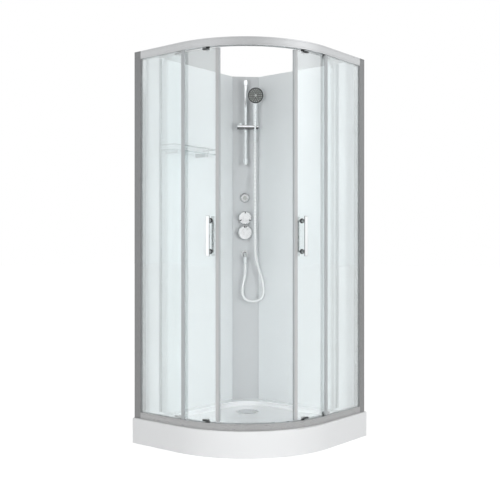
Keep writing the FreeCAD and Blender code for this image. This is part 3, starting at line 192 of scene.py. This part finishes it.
# Patterns in the materials: the part of a noise's range in use, its scale, and how far it shifts
# the tone and the gloss
NOISE_LOW = 0.3
NOISE_HIGH = 0.7
DRIFT_SCALE = 6
DRIFT_TONE_SHARE = 0.99
SKIN_BUMP = 0.08
SKIN_COAT_ROUGHNESS = 0.05
LINE_SCALE = 900
LINE_TONE_SHARE = 0.94
LINE_GLOSS_SHARES = (0.8, 1.25)
LINE_BUMP = 0.06
LINE_DEPTH = 0.0001
SMEAR_SCALE = 45
SMEAR_DETAIL = 5.0
SMEAR_TONE_SHARE = 0.97
SMEAR_GLOSS_SHARES = (0.6, 1.6)
LIMESCALE_SCALE = 2.5
LIMESCALE_TONE_SHARE = 0.985
RIB_TONE_SHARE = 0.94
RIB_BUMP = 0.06
RIB_DEPTH = 0.0004

# Stretch of the lines in drawn metal, small along the way that it was drawn
LEVEL_LINES = (0.02, 0.02, 1.0)
UPRIGHT_LINES = (1.0, 1.0, 0.02)
CROSS_LINES = (0.02, 1.0, 1.0)

# Glass and clear vinyl; the last value tints the lamps' light behind a pane
GLASS_IOR = 1.52
GLASS_CLEAR_SHARE = 0.94
GLASS_COAT_IOR = 2.0
VINYL_CLEAR_SHARE = 0.5
LAMPS_THROUGH_GLASS = (0.985, 0.99, 0.99)


def on_column(side, out, level):
    """The place in the model's frame, in metres, of a point given in millimetres of the column's."""
    place = COLUMN_FACE + RIGHTWARD * (FITTINGS_SIDE + side * MM) + OUTWARD * (out * MM)
    return place + UPWARD * (level * MM)


def shade(colour, share):
    return tuple(channel * share for channel in colour)


# Shader nodes

def feed(tree, value, socket):
    """Links a socket to another one, or sets it to a plain value."""
    if isinstance(value, bpy.types.NodeSocket):
        tree.links.new(value, socket)
    else:
        socket.default_value = value


def add_math(tree, operation, first, second):
    node = tree.nodes.new("ShaderNodeMath")
    node.operation = operation
    feed(tree, first, node.inputs[0])
    feed(tree, second, node.inputs[1])
    return node.outputs[0]


def map_range(tree, value, start, end, low=0, high=1):
    node = tree.nodes.new("ShaderNodeMapRange")
    feed(tree, value, node.inputs["Value"])
    feed(tree, start, node.inputs["From Min"])
    feed(tree, end, node.inputs["From Max"])
    feed(tree, low, node.inputs["To Min"])
    feed(tree, high, node.inputs["To Max"])
    return node.outputs["Result"]


def mix_colours(tree, factor, first, second):
    """A mix of two colours, each of them a socket or three numbers."""
    node = tree.nodes.new("ShaderNodeMix")
    node.data_type = "RGBA"
    feed(tree, factor, node.inputs["Factor"])
    for name, colour in (("A", first), ("B", second)):
        feed(tree, (*colour, 1) if isinstance(colour, tuple) else colour, node.inputs[name])
    return node.outputs["Result"]


def mix_shaders(tree, factor, first, second):
    node = tree.nodes.new("ShaderNodeMixShader")
    feed(tree, factor, node.inputs["Fac"])
    feed(tree, first, node.inputs[1])
    feed(tree, second, node.inputs[2])
    return node.outputs[0]


def add_background(tree, colour, strength):
    node = tree.nodes.new("ShaderNodeBackground")
    node.inputs["Color"].default_value = (*colour, 1)
    node.inputs["Strength"].default_value = strength
    return node.outputs[0]


def split_axes(tree, vector):
    node = tree.nodes.new("ShaderNodeSeparateXYZ")
    tree.links.new(vector, node.inputs[0])
    return node.outputs


def surface_of(material):
    return material.node_tree.nodes["Principled BSDF"]


def set_surface(material, shader):
    tree = material.node_tree
    tree.links.new(shader, tree.nodes["Material Output"].inputs["Surface"])


# Camera and light

def make_camera():
    data = bpy.data.cameras.new("camera")
    data.lens = CAMERA_LENS
    data.shift_x = CAMERA_SHIFT
    camera = bpy.data.objects.new("camera", data)
    camera.location = CAMERA_PLACE
    camera.rotation_euler = (math.radians(CAMERA_TILT), 0, math.radians(CAMERA_TURN))
    bpy.context.scene.collection.objects.link(camera)
    bpy.context.scene.camera = camera


def add_lamp(name, place, target, size, power):
    """A round lamp that neither polished pieces nor panes show."""
    data = bpy.data.lights.new(name, "AREA")
    data.shape = "DISK"
    data.size = size
    data.energy = power
    lamp = bpy.data.objects.new(name, data)
    lamp.location = place
    lamp.visible_glossy = False
    lamp.visible_transmission = False
    lamp.rotation_euler = (Vector(target) - Vector(place)).to_track_quat("-Z", "Y").to_euler()
    bpy.context.scene.collection.objects.link(lamp)


def studio_ring(tree, direction):
    """The studio's tone by the heading of a direction: the gradient is one half at +X."""
    around = tree.nodes.new("ShaderNodeTexGradient")
    around.gradient_type = "RADIAL"
    ramp = tree.nodes.new("ShaderNodeValToRGB")
    stops = ramp.color_ramp.elements
    while len(stops) < len(STUDIO_RING):
        stops.new(1)
    for stop, (heading, share) in zip(stops, STUDIO_RING):
        stop.position = 0.5 + heading / FULL_TURN
        stop.color = (*shade(DAYLIGHT, share), 1)
    tree.links.new(direction, around.inputs["Vector"])
    tree.links.new(around.outputs["Fac"], ramp.inputs["Fac"])
    return ramp.outputs["Color"]


def make_world():
    """White for the camera, grey through glass, plain light, and a studio for all that is mirrored."""
    world = bpy.data.worlds.new("studio")
    bpy.context.scene.world = world
    world.use_nodes = True
    tree = world.node_tree
    path = tree.nodes.new("ShaderNodeLightPath").outputs
    direction = tree.nodes.new("ShaderNodeTexCoord").outputs["Generated"]
    height = split_axes(tree, direction)["Z"]

    rise = map_range(tree, height, 0, HORIZON_HEIGHT)
    mirrored = mix_colours(tree, rise, shade(DAYLIGHT, HORIZON_SHARE), studio_ring(tree, direction))
    tone = mix_colours(tree, path["Is Glossy Ray"], shade(DAYLIGHT, PLAIN_SHARE), mirrored)
    sky = tree.nodes.new("ShaderNodeVectorMath")
    sky.operation = "SCALE"
    feed(tree, tone, sky.inputs[0])
    feed(tree, map_range(tree, height, FADE_START, FADE_END, 1, OVERHEAD_SHARE), sky.inputs["Scale"])
    studio = tree.nodes["Background"]
    feed(tree, sky.outputs[0], studio.inputs["Color"])
    feed(tree, STUDIO_STRENGTH, studio.inputs["Strength"])

    scattered = add_math(tree, "GREATER_THAN", path["Diffuse Depth"], BOUNCED)
    inner = add_math(tree, "MULTIPLY", scattered, path["Is Transmission Ray"])
    light = mix_shaders(tree, inner, studio.outputs[0], add_background(tree, DAYLIGHT, INNER_DAYLIGHT))

    bounces = add_math(tree, "ADD", path["Diffuse Depth"], path["Glossy Depth"])
    direct = add_math(tree, "LESS_THAN", bounces, BOUNCED)
    through = add_math(tree, "MULTIPLY", direct, path["Is Transmission Ray"])
    light = mix_shaders(tree, through, light, add_background(tree, DAYLIGHT, SEEN_THROUGH_GLASS))
    light = mix_shaders(tree, path["Is Camera Ray"], light, add_background(tree, WHITE, 1))
    tree.links.new(light, tree.nodes["World Output"].inputs["Surface"])


def make_floor():
    """Ground that glows for the eye, for mirrors and for glass, and still takes the cabin's shadow."""
    mesh = bpy.data.meshes.new("floor")
    low, high = -FLOOR_REACH, FLOOR_REACH
    corners = [(low, low, 0), (high, low, 0), (high, high, 0), (low, high, 0)]
    mesh.from_pydata(corners, [], [(0, 1, 2, 3)])
    floor = bpy.data.objects.new("floor", mesh)
    bpy.context.scene.collection.objects.link(floor)
    material = new_material("floor_white", FLOOR_TONE, FLOOR_ROUGHNESS)
    tree = material.node_tree
    glow = tree.nodes.new("ShaderNodeEmission")
    glow.inputs["Strength"].default_value = FLOOR_GLOW
    path = tree.nodes.new("ShaderNodeLightPath").outputs
    mirrored = add_math(tree, "MAXIMUM", path["Is Glossy Ray"], path["Is Transmission Ray"])
    seen = add_math(tree, "MAXIMUM", path["Is Camera Ray"], mirrored)
    share = add_math(tree, "MULTIPLY", seen, FLOOR_GLOW_SHARE)
    set_surface(material, mix_shaders(tree, share, surface_of(material).outputs[0], glow.outputs[0]))
    mesh.materials.append(material)


# Materials

def new_material(name, colour, roughness, metallic=0.0):
    material = bpy.data.materials.new(name)
    material.use_nodes = True
    surface = surface_of(material)
    surface.inputs["Base Color"].default_value = (*colour, 1)
    surface.inputs["Roughness"].default_value = roughness
    surface.inputs["Metallic"].default_value = metallic
    return material


def add_noise(material, scale, stretch=(1, 1, 1), detail=3.0):
    """A noise pattern in the object's own space, stretched along some of its axes."""
    tree = material.node_tree
    place = tree.nodes.new("ShaderNodeTexCoord")
    mapping = tree.nodes.new("ShaderNodeMapping")
    mapping.inputs["Scale"].default_value = stretch
    noise = tree.nodes.new("ShaderNodeTexNoise")
    noise.inputs["Scale"].default_value = scale
    noise.inputs["Detail"].default_value = detail
    tree.links.new(place.outputs["Object"], mapping.inputs["Vector"])
    tree.links.new(mapping.outputs["Vector"], noise.inputs["Vector"])
    return noise.outputs["Fac"]


def vary_colour(material, pattern, first, second):
    tree = material.node_tree
    factor = map_range(tree, pattern, NOISE_LOW, NOISE_HIGH)
    tree.links.new(mix_colours(tree, factor, first, second), surface_of(material).inputs["Base Color"])


def vary_roughness(material, pattern, low, high):
    tree = material.node_tree
    roughness = map_range(tree, pattern, NOISE_LOW, NOISE_HIGH, low, high)
    tree.links.new(roughness, surface_of(material).inputs["Roughness"])


def add_bump(material, pattern, strength, distance):
    tree = material.node_tree
    bump = tree.nodes.new("ShaderNodeBump")
    bump.inputs["Strength"].default_value = strength
    bump.inputs["Distance"].default_value = distance
    tree.links.new(pattern, bump.inputs["Height"])
    tree.links.new(bump.outputs["Normal"], surface_of(material).inputs["Normal"])


def overlay(material, colour, factor):
    """Puts another colour over a material's own one, as far as a factor says."""
    tree = material.node_tree
    base = surface_of(material).inputs["Base Color"]
    tree.links.new(mix_colours(tree, factor, base.links[0].from_socket, colour), base)


def moulded(name, colour, roughness, coat=0.0, grain=900, depth=0.0001, drift_share=0.15):
    """Plastic: a faint drift of colour and gloss, and a fine skin."""
    material = new_material(name, colour, roughness)
    surface = surface_of(material)
    surface.inputs["Coat Weight"].default_value = coat
    surface.inputs["Coat Roughness"].default_value = SKIN_COAT_ROUGHNESS
    drift = add_noise(material, DRIFT_SCALE)
    vary_colour(material, drift, colour, shade(colour, DRIFT_TONE_SHARE))
    vary_roughness(material, drift, roughness * (1 - drift_share), roughness * (1 + drift_share))
    add_bump(material, add_noise(material, grain), SKIN_BUMP, depth)
    return material


def brushed(name, colour, stretch, roughness=0.3):
    """Satin metal with fine lines along the way that it was drawn."""
    material = new_material(name, colour, roughness, metallic=1.0)
    lines = add_noise(material, LINE_SCALE, stretch)
    vary_colour(material, lines, colour, shade(colour, LINE_TONE_SHARE))
    vary_roughness(material, lines, *(roughness * share for share in LINE_GLOSS_SHARES))
    add_bump(material, lines, LINE_BUMP, LINE_DEPTH)
    return material


def polished(name, colour, roughness=0.07):
    """Chrome with faint smears of water marks."""
    material = new_material(name, colour, roughness, metallic=1.0)
    smear = add_noise(material, SMEAR_SCALE, detail=SMEAR_DETAIL)
    vary_colour(material, smear, colour, shade(colour, SMEAR_TONE_SHARE))
    vary_roughness(material, smear, *(roughness * share for share in SMEAR_GLOSS_SHARES))
    return material


def paint_flank_reflection(material, colour, front):
    """Paints a darker reflection on a bar's flanks, where its surface turns away from its own front."""
    tree = material.node_tree
    turned = tree.nodes.new("ShaderNodeVectorMath")
    turned.operation = "DOT_PRODUCT"
    feed(tree, tree.nodes.new("ShaderNodeTexCoord").outputs["Normal"], turned.inputs[0])
    feed(tree, front, turned.inputs[1])
    overlay(material, colour, map_range(tree, turned.outputs["Value"], FLANK_START, FLANK_END))


def recolour(material, colour, axis, side, limit):
    """Gives a material another colour on one side of a plane across an axis of its object."""
    tree = material.node_tree
    place = tree.nodes.new("ShaderNodeTexCoord").outputs["Object"]
    overlay(material, colour, add_math(tree, side, split_axes(tree, place)[axis], limit))


def clear_glass(name, tint):
    """Clear pane that lets the lamps through, with faint limescale in its tint."""
    material = new_material(name, tint, roughness=0.0)
    tree = material.node_tree
    surface = surface_of(material)
    surface.inputs["Transmission Weight"].default_value = GLASS_CLEAR_SHARE
    surface.inputs["IOR"].default_value = GLASS_IOR
    surface.inputs["Coat Weight"].default_value = 1.0
    surface.inputs["Coat Roughness"].default_value = 0.0
    surface.inputs["Coat IOR"].default_value = GLASS_COAT_IOR
    limescale = add_noise(material, LIMESCALE_SCALE)
    vary_colour(material, limescale, tint, shade(tint, LIMESCALE_TONE_SHARE))
    clear = tree.nodes.new("ShaderNodeBsdfTransparent")
    clear.inputs["Color"].default_value = (*LAMPS_THROUGH_GLASS, 1)
    shadow = tree.nodes.new("ShaderNodeLightPath").outputs["Is Shadow Ray"]
    set_surface(material, mix_shaders(tree, shadow, surface.outputs[0], clear.outputs[0]))
    return material


def hose_sleeve(name, colour, roughness, metallic):
    """Silver sleeve with a fine wound rib, from the tube's own map along its length."""
    material = new_material(name, colour, roughness, metallic)
    tree = material.node_tree
    wave = tree.nodes.new("ShaderNodeTexWave")
    wave.bands_direction = "X"
    wave.inputs["Scale"].default_value = HOSE_RIB_SCALE
    tree.links.new(tree.nodes.new("ShaderNodeUVMap").outputs["UV"], wave.inputs["Vector"])
    vary_colour(material, wave.outputs["Fac"], colour, shade(colour, RIB_TONE_SHARE))
    add_bump(material, wave.outputs["Fac"], RIB_BUMP, RIB_DEPTH)
    return material


ACRYLIC = (0.92, 0.925, 0.93)
WALL = (0.83, 0.852, 0.86)
COLUMN = (0.615, 0.626, 0.636)
METAL = (0.60, 0.602, 0.605)
POST = shade(METAL, 0.42)
POST_PAINTED_LIGHT = shade(METAL, 0.85)
CHROME = (0.93, 0.935, 0.94)
# Painted reflection: a darker chrome for the outer handles' flanks
HANDLE_FLANK_REFLECTION = shade(CHROME, 0.4)
SLIDER_PAINTED_SHADE = (0.14, 0.143, 0.147)

tray_acrylic = moulded("tray_acrylic", ACRYLIC, roughness=0.2, coat=0.5, grain=700)
wall_acrylic = moulded("wall_acrylic", WALL, roughness=0.35, coat=0.1, grain=500, drift_share=0.03)
column_grey = moulded("column_grey", COLUMN, roughness=0.4, coat=0.1, grain=500, drift_share=0.03)

rail_metal = brushed("rail_metal", METAL, LEVEL_LINES)
recolour(rail_metal, POST, "X", "LESS_THAN", LEFT_POST_EDGE)
recolour(rail_metal, POST, "Y", "GREATER_THAN", RIGHT_POST_EDGE)
# Painted shade: the bottom rail gets a darker copy of the rail metal
shaded_sill_metal = brushed("shaded_sill_metal", shade(METAL, 0.69), LEVEL_LINES)
left_post_metal = brushed("left_post_metal", POST, UPRIGHT_LINES)
# Painted light: the posts' inner sides get a paler copy of their metal
recolour(left_post_metal, POST_PAINTED_LIGHT, "X", "GREATER_THAN", LEFT_POST_EDGE - POST_PAINTED_LIGHT_DEPTH)
right_post_metal = brushed("right_post_metal", POST, UPRIGHT_LINES)
recolour(right_post_metal, POST_PAINTED_LIGHT, "Y", "LESS_THAN", RIGHT_POST_EDGE + POST_PAINTED_LIGHT_DEPTH)
profile_metal = brushed("profile_metal", shade(METAL, 0.98), UPRIGHT_LINES, roughness=0.5)

chrome = polished("chrome", CHROME)
# The outer handles' chrome gets a painted darker reflection on its flanks
left_chrome = polished("left_chrome", CHROME)
paint_flank_reflection(left_chrome, HANDLE_FLANK_REFLECTION, LEFT_FRONT)
right_chrome = polished("right_chrome", CHROME)
paint_flank_reflection(right_chrome, HANDLE_FLANK_REFLECTION, RIGHT_FRONT)
# Painted shade: the inner handles get a darker copy of the chrome
shaded_inner_chrome = polished("shaded_inner_chrome", shade(CHROME, 0.3), roughness=0.2)
# Painted shade: the shelf's gallery and arms get a darker copy of the chrome
shaded_shelf_chrome = polished("shaded_shelf_chrome", shade(CHROME, 0.6))
plated = polished("plated", CHROME, roughness=0.1)
# Painted shade: the knobs get a darker copy of the chrome
shaded_knob_plating = polished("shaded_knob_plating", shade(CHROME, 0.85), roughness=0.2)
# Painted shade: the jet, the outlet and the rosettes get a darker copy of the chrome
shaded_plating = polished("shaded_plating", shade(CHROME, 0.66), roughness=0.2)
# Slider: chrome with painted shade on its lower band
slider_plating = polished("slider_plating", CHROME, roughness=0.1)
recolour(slider_plating, SLIDER_PAINTED_SHADE, "Z", "LESS_THAN", SLIDER_SHADE_LEVEL)

pane_glass = clear_glass("pane_glass", (0.955, 0.998, 1.0))
shelf_clear = clear_glass("shelf_clear", (0.45, 0.62, 0.64))

vinyl = moulded("vinyl", (0.50, 0.52, 0.53), roughness=0.35, coat=0.2, grain=1200)
clear_vinyl = moulded("clear_vinyl", (0.50, 0.53, 0.54), roughness=0.6, grain=1200)
surface_of(clear_vinyl).inputs["Transmission Weight"].default_value = VINYL_CLEAR_SHARE
rubber = moulded("rubber", (0.36, 0.37, 0.375), roughness=0.6, grain=1500, depth=0.0002)
# Black rubber, also used as painted shade in the knobs' notches
black_rubber_and_shade = moulded("black_rubber_and_shade", (0.05, 0.052, 0.055), roughness=0.5, grain=1500, depth=0.0002)
carrier_plastic = moulded("carrier_plastic", (0.07, 0.072, 0.075), roughness=0.4, grain=1500)
nylon = moulded("nylon", (0.80, 0.80, 0.78), roughness=0.45, grain=1500)
waste_white = moulded("waste_white", (0.82, 0.82, 0.80), roughness=0.4)
spray_grey = moulded("spray_grey", (0.13, 0.135, 0.128), roughness=0.35, coat=0.2, grain=1500)
nozzle_rubber = moulded("nozzle_rubber", (0.50, 0.51, 0.49), roughness=0.5, grain=1500)
zinc = brushed("zinc", (0.62, 0.63, 0.65), CROSS_LINES, roughness=0.42)
brass = polished("brass", (0.72, 0.58, 0.32), roughness=0.3)
sleeve = hose_sleeve("sleeve", (0.94, 0.943, 0.946), roughness=0.24, metallic=0.15)

SURFACES = {
    tray_acrylic: ["tray_shell"],
    wall_acrylic: ["left_wall", "right_wall"],
    column_grey: ["column_panel", "column_trims"],
    rail_metal: ["top_rail"],
    shaded_sill_metal: ["bottom_rail"],
    left_post_metal: ["left_post"],
    right_post_metal: ["right_post"],
    profile_metal: ["left_door_profile", "right_door_profile"],
    chrome: ["riser_bar", "hose_nut"],
    left_chrome: ["left_outer_handle"],
    right_chrome: ["right_outer_handle"],
    shaded_inner_chrome: ["left_inner_handle", "right_inner_handle"],
    shaded_shelf_chrome: ["shelf_gallery", "shelf_arms"],
    plated: ["riser_brackets", "slider_knob", "hand_shower", "hose_cone", "drain_cover"],
    shaded_knob_plating: ["upper_knob", "lower_knob"],
    shaded_plating: ["column_jet", "wall_outlet", "rosettes"],
    slider_plating: ["slider"],
    carrier_plastic: ["left_roller_carriers", "right_roller_carriers"],
    pane_glass: ["left_fixed_pane", "right_fixed_pane", "left_door_pane", "right_door_pane"],
    shelf_clear: ["shelf_plate"],
    vinyl: ["edge_seals", "left_magnet_seal", "right_magnet_seal"],
    clear_vinyl: ["left_trailing_seal", "right_trailing_seal"],
    rubber: ["pane_gaskets", "door_stops"],
    nylon: [name for name in nodes if name.endswith("_wheel")],
    waste_white: ["waste_body", "waste_trap", "post_plugs"],
    spray_grey: ["spray_face"],
    zinc: ["tray_bars", "tray_feet"],
    brass: ["valve_manifold"],
    sleeve: ["shower_hose"],
}

# Widths of the small rounded edges, in millimetres
BEVELS = {
    "tray_shell": 2.0, "left_wall": 1.0, "right_wall": 1.0, "top_rail": 0.6, "bottom_rail": 0.6,
    "left_post": 1.0, "right_post": 1.0, "column_trims": 0.6, "left_door_profile": 0.8,
    "right_door_profile": 0.8, "edge_seals": 0.5, "shelf_plate": 0.8, "shelf_arms": 1.5,
    "left_roller_carriers": 0.6, "right_roller_carriers": 0.6, "upper_knob": 0.4, "lower_knob": 0.4,
    "left_outer_handle": 3.6, "right_outer_handle": 3.6,
}


def dress_nodes():
    """Gives each node its material and its sharp edges, and some of them small rounded edges."""
    for material, names in SURFACES.items():
        for name in names:
            mesh = nodes[name].data
            mesh.materials.clear()
            mesh.materials.append(material)
    for node in nodes.values():
        node.data.set_sharp_from_angle(angle=math.radians(NODE_SHARP_ANGLE))
    for name, width in BEVELS.items():
        bevel = nodes[name].modifiers.new("edges", "BEVEL")
        bevel.width = width * MM
        bevel.segments = BEVEL_SEGMENTS
        bevel.limit_method = "ANGLE"
        bevel.angle_limit = math.radians(BEVEL_ANGLE)
        bevel.harden_normals = True


# Pieces

def lathe(form, profile, matrix, sides):
    """Adds a turned solid to a bmesh, from (radius, height) points, with its axis on the matrix's Z."""
    rings = []
    for radius, height in profile:
        if radius == 0:
            rings.append([form.verts.new(matrix @ Vector((0, 0, height)))])
            continue
        ring = []
        for step in range(sides):
            turn = 2 * math.pi * step / sides
            spot = Vector((radius * math.cos(turn), radius * math.sin(turn), height))
            ring.append(form.verts.new(matrix @ spot))
        rings.append(ring)
    for low, high in zip(rings, rings[1:]):
        for step in range(sides):
            ahead = (step + 1) % sides
            if len(low) == 1:
                form.faces.new((low[0], high[ahead], high[step]))
            elif len(high) == 1:
                form.faces.new((low[step], low[ahead], high[0]))
            else:
                form.faces.new((low[step], low[ahead], high[ahead], high[step]))


def block(form, low, high, matrix, rounding):
    """Adds a box with rounded edges to a bmesh, between two corners of the matrix's space."""
    low, high = Vector(low), Vector(high)
    size = Matrix.Diagonal((*(high - low), 1))
    place = matrix @ Matrix.Translation((low + high) / 2)
    made = bmesh.ops.create_cube(form, size=1, matrix=place @ size)
    edges = {edge for vert in made["verts"] for edge in vert.link_edges}
    bmesh.ops.bevel(
        form, geom=list(edges), offset=rounding, segments=BEVEL_SEGMENTS, profile=BEVEL_PROFILE,
        affect="EDGES",
    )


def column_frame(level):
    """The fittings' axes at a level of the column: +X to the right, +Y up and +Z out of its face."""
    axes = Matrix((RIGHTWARD, UPWARD, OUTWARD)).transposed().to_4x4()
    return Matrix.Translation(on_column(0, 0, level / MM)) @ axes


def facing(place, direction):
    """A matrix that carries +Z onto a direction at a place."""
    turn = Vector(direction).to_track_quat("Z", "Y").to_matrix().to_4x4()
    return Matrix.Translation(place) @ turn


def node_middle(name):
    low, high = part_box(name)
    return (low + high) / 2


def add_piece(name, form, material, body):
    """Turns a bmesh into a smooth piece of one material that rides on a body."""
    bmesh.ops.recalc_face_normals(form, faces=form.faces)
    mesh = bpy.data.meshes.new(name)
    form.to_mesh(mesh)
    form.free()
    for polygon in mesh.polygons:
        polygon.use_smooth = True
    mesh.set_sharp_from_angle(angle=math.radians(PIECE_SHARP_ANGLE))
    mesh.materials.append(material)
    piece = bpy.data.objects.new(name, mesh)
    bpy.context.scene.collection.objects.link(piece)
    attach(piece, body)
    return piece


def route_curve():
    """The hose's line: a smooth spline on the route's points."""
    data = bpy.data.curves.new("hose_line", "CURVE")
    data.dimensions = "3D"
    data.resolution_u = HOSE_STEPS
    spline = data.splines.new("NURBS")
    spline.points.add(len(HOSE_ROUTE) - 1)
    for point, place in zip(spline.points, HOSE_ROUTE):
        point.co = (*on_column(*place), 1)
    spline.order_u = HOSE_ORDER
    spline.use_endpoint_u = True
    return bpy.data.objects.new("hose_line", data)


def curve_mesh(curve):
    bpy.context.scene.collection.objects.link(curve)
    bpy.context.view_layer.update()
    shaped = curve.evaluated_get(bpy.context.evaluated_depsgraph_get())
    mesh = bpy.data.meshes.new_from_object(shaped)
    bpy.context.scene.collection.objects.unlink(curve)
    return mesh


def make_hose():
    """The hose as a tube on its line, with its loop, in place of the model's own hose."""
    curve = route_curve()
    path = [vertex.co.copy() for vertex in curve_mesh(curve).vertices]
    curve.data.bevel_depth = HOSE_RADIUS
    curve.data.bevel_resolution = HOSE_ROUNDNESS
    curve.data.use_fill_caps = True
    mesh = curve_mesh(curve)
    bpy.data.objects.remove(curve)
    mesh.name = "hose"
    mesh.materials.clear()
    mesh.materials.append(sleeve)
    for polygon in mesh.polygons:
        polygon.use_smooth = True
    hose = bpy.data.objects.new("hose", mesh)
    bpy.context.scene.collection.objects.link(hose)
    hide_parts("shower_hose")
    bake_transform(hose)


def make_spray():
    """Rubber nozzles in rings on the hand shower's face, round a button, inside a dark rim."""
    tilt = math.radians(HEAD_TILT)
    ahead = OUTWARD * math.cos(tilt) - UPWARD * math.sin(tilt)
    place = facing(node_middle("spray_face") + ahead * SPRAY_HALF_DEPTH, ahead)
    outline = [
        (0, 0),
        (NOZZLE_RADIUS, 0),
        (NOZZLE_RADIUS * NOZZLE_TIP_SHARE, NOZZLE_HEIGHT * NOZZLE_TIP_SHARE),
        (0, NOZZLE_HEIGHT),
    ]
    form = bmesh.new()
    for ring, count in NOZZLE_RINGS:
        for step in range(count):
            turn = 2 * math.pi * step / count
            spot = Matrix.Translation((ring * math.cos(turn), ring * math.sin(turn), 0))
            lathe(form, outline, place @ spot, NOZZLE_SIDES)
    nozzles = add_piece("spray_nozzles", form, nozzle_rubber, "hand_shower")
    for name, profile, material in (
        ("spray_button", SPRAY_BUTTON, nozzle_rubber),
        ("spray_rim", SPRAY_RIM, black_rubber_and_shade),
    ):
        form = bmesh.new()
        lathe(form, profile, place, SPRAY_SIDES)
        bmesh.ops.remove_doubles(form, verts=form.verts, dist=WELD)
        add_piece(name, form, material, "hand_shower")


def make_knob_notch_shade():
    """Dark blocks of painted shade that fill most of each notch in the knobs."""
    for knob, turns in KNOB_NOTCHES.items():
        low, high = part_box(knob)
        outer = (high.z - low.z) / 2 - SHADE_BLOCK_RIM_GAP
        front = KNOB_FRONT - SHADE_BLOCK_SINK
        form = bmesh.new()
        for turn in turns:
            place = column_frame(node_middle(knob).z) @ Matrix.Rotation(math.radians(turn), 4, "Z")
            inner_corner = (-SHADE_BLOCK_HALF_WIDTH, outer - SHADE_BLOCK_LENGTH, front - SHADE_BLOCK_DEPTH)
            outer_corner = (SHADE_BLOCK_HALF_WIDTH, outer, front)
            block(form, inner_corner, outer_corner, place, SHADE_BLOCK_ROUND)
        add_piece(f"{knob}_notch_shade", form, black_rubber_and_shade, knob)


def make_jet_nozzle():
    """Grey nozzle in the middle of the column's jet."""
    form = bmesh.new()
    place = column_frame(node_middle("column_jet").z) @ Matrix.Translation((0, 0, JET_FRONT))
    lathe(form, JET_NOZZLE, place, JET_SIDES)
    add_piece("jet_nozzle", form, nozzle_rubber, "cabin")


def make_washers():
    """Dark washers between the outer handles' legs and the panes."""
    outline = [
        (WASHER_BORE, 0),
        (WASHER_RADIUS, 0),
        (WASHER_RADIUS, WASHER_HEIGHT),
        (WASHER_BORE, WASHER_HEIGHT),
        (WASHER_BORE, 0),
    ]
    for side in ("left", "right"):
        outward = node_middle(f"{side}_outer_handle") - ARC_CENTRE
        outward.z = 0
        outward.normalize()
        form = bmesh.new()
        for level in HANDLE_LEVELS:
            place = facing(ARC_CENTRE + outward * PANE_RADIUS + UPWARD * level, outward)
            lathe(form, outline, place, WASHER_SIDES)
        bmesh.ops.remove_doubles(form, verts=form.verts, dist=WELD)
        add_piece(f"{side}_washers", form, black_rubber_and_shade, f"{side}_door")


make_camera()
make_hose()
dress_nodes()
make_world()
make_floor()
add_lamp("left_lamp", place=(1.1, -3.15, 1.3), target=(-0.2, 0.2, 1.0), size=0.5, power=29)
add_lamp("rear_lamp", place=(-2.6, 2.8, 1.6), target=(-0.3, 0.35, 1.0), size=1.5, power=45)
add_lamp("right_lamp", place=(3.4, -1.0, 1.25), target=(-0.2, 0.2, 0.9), size=1.0, power=37)
make_spray()
make_knob_notch_shade()
make_jet_nozzle()
make_washers()

bpy.context.scene.view_settings.view_transform = "Standard"
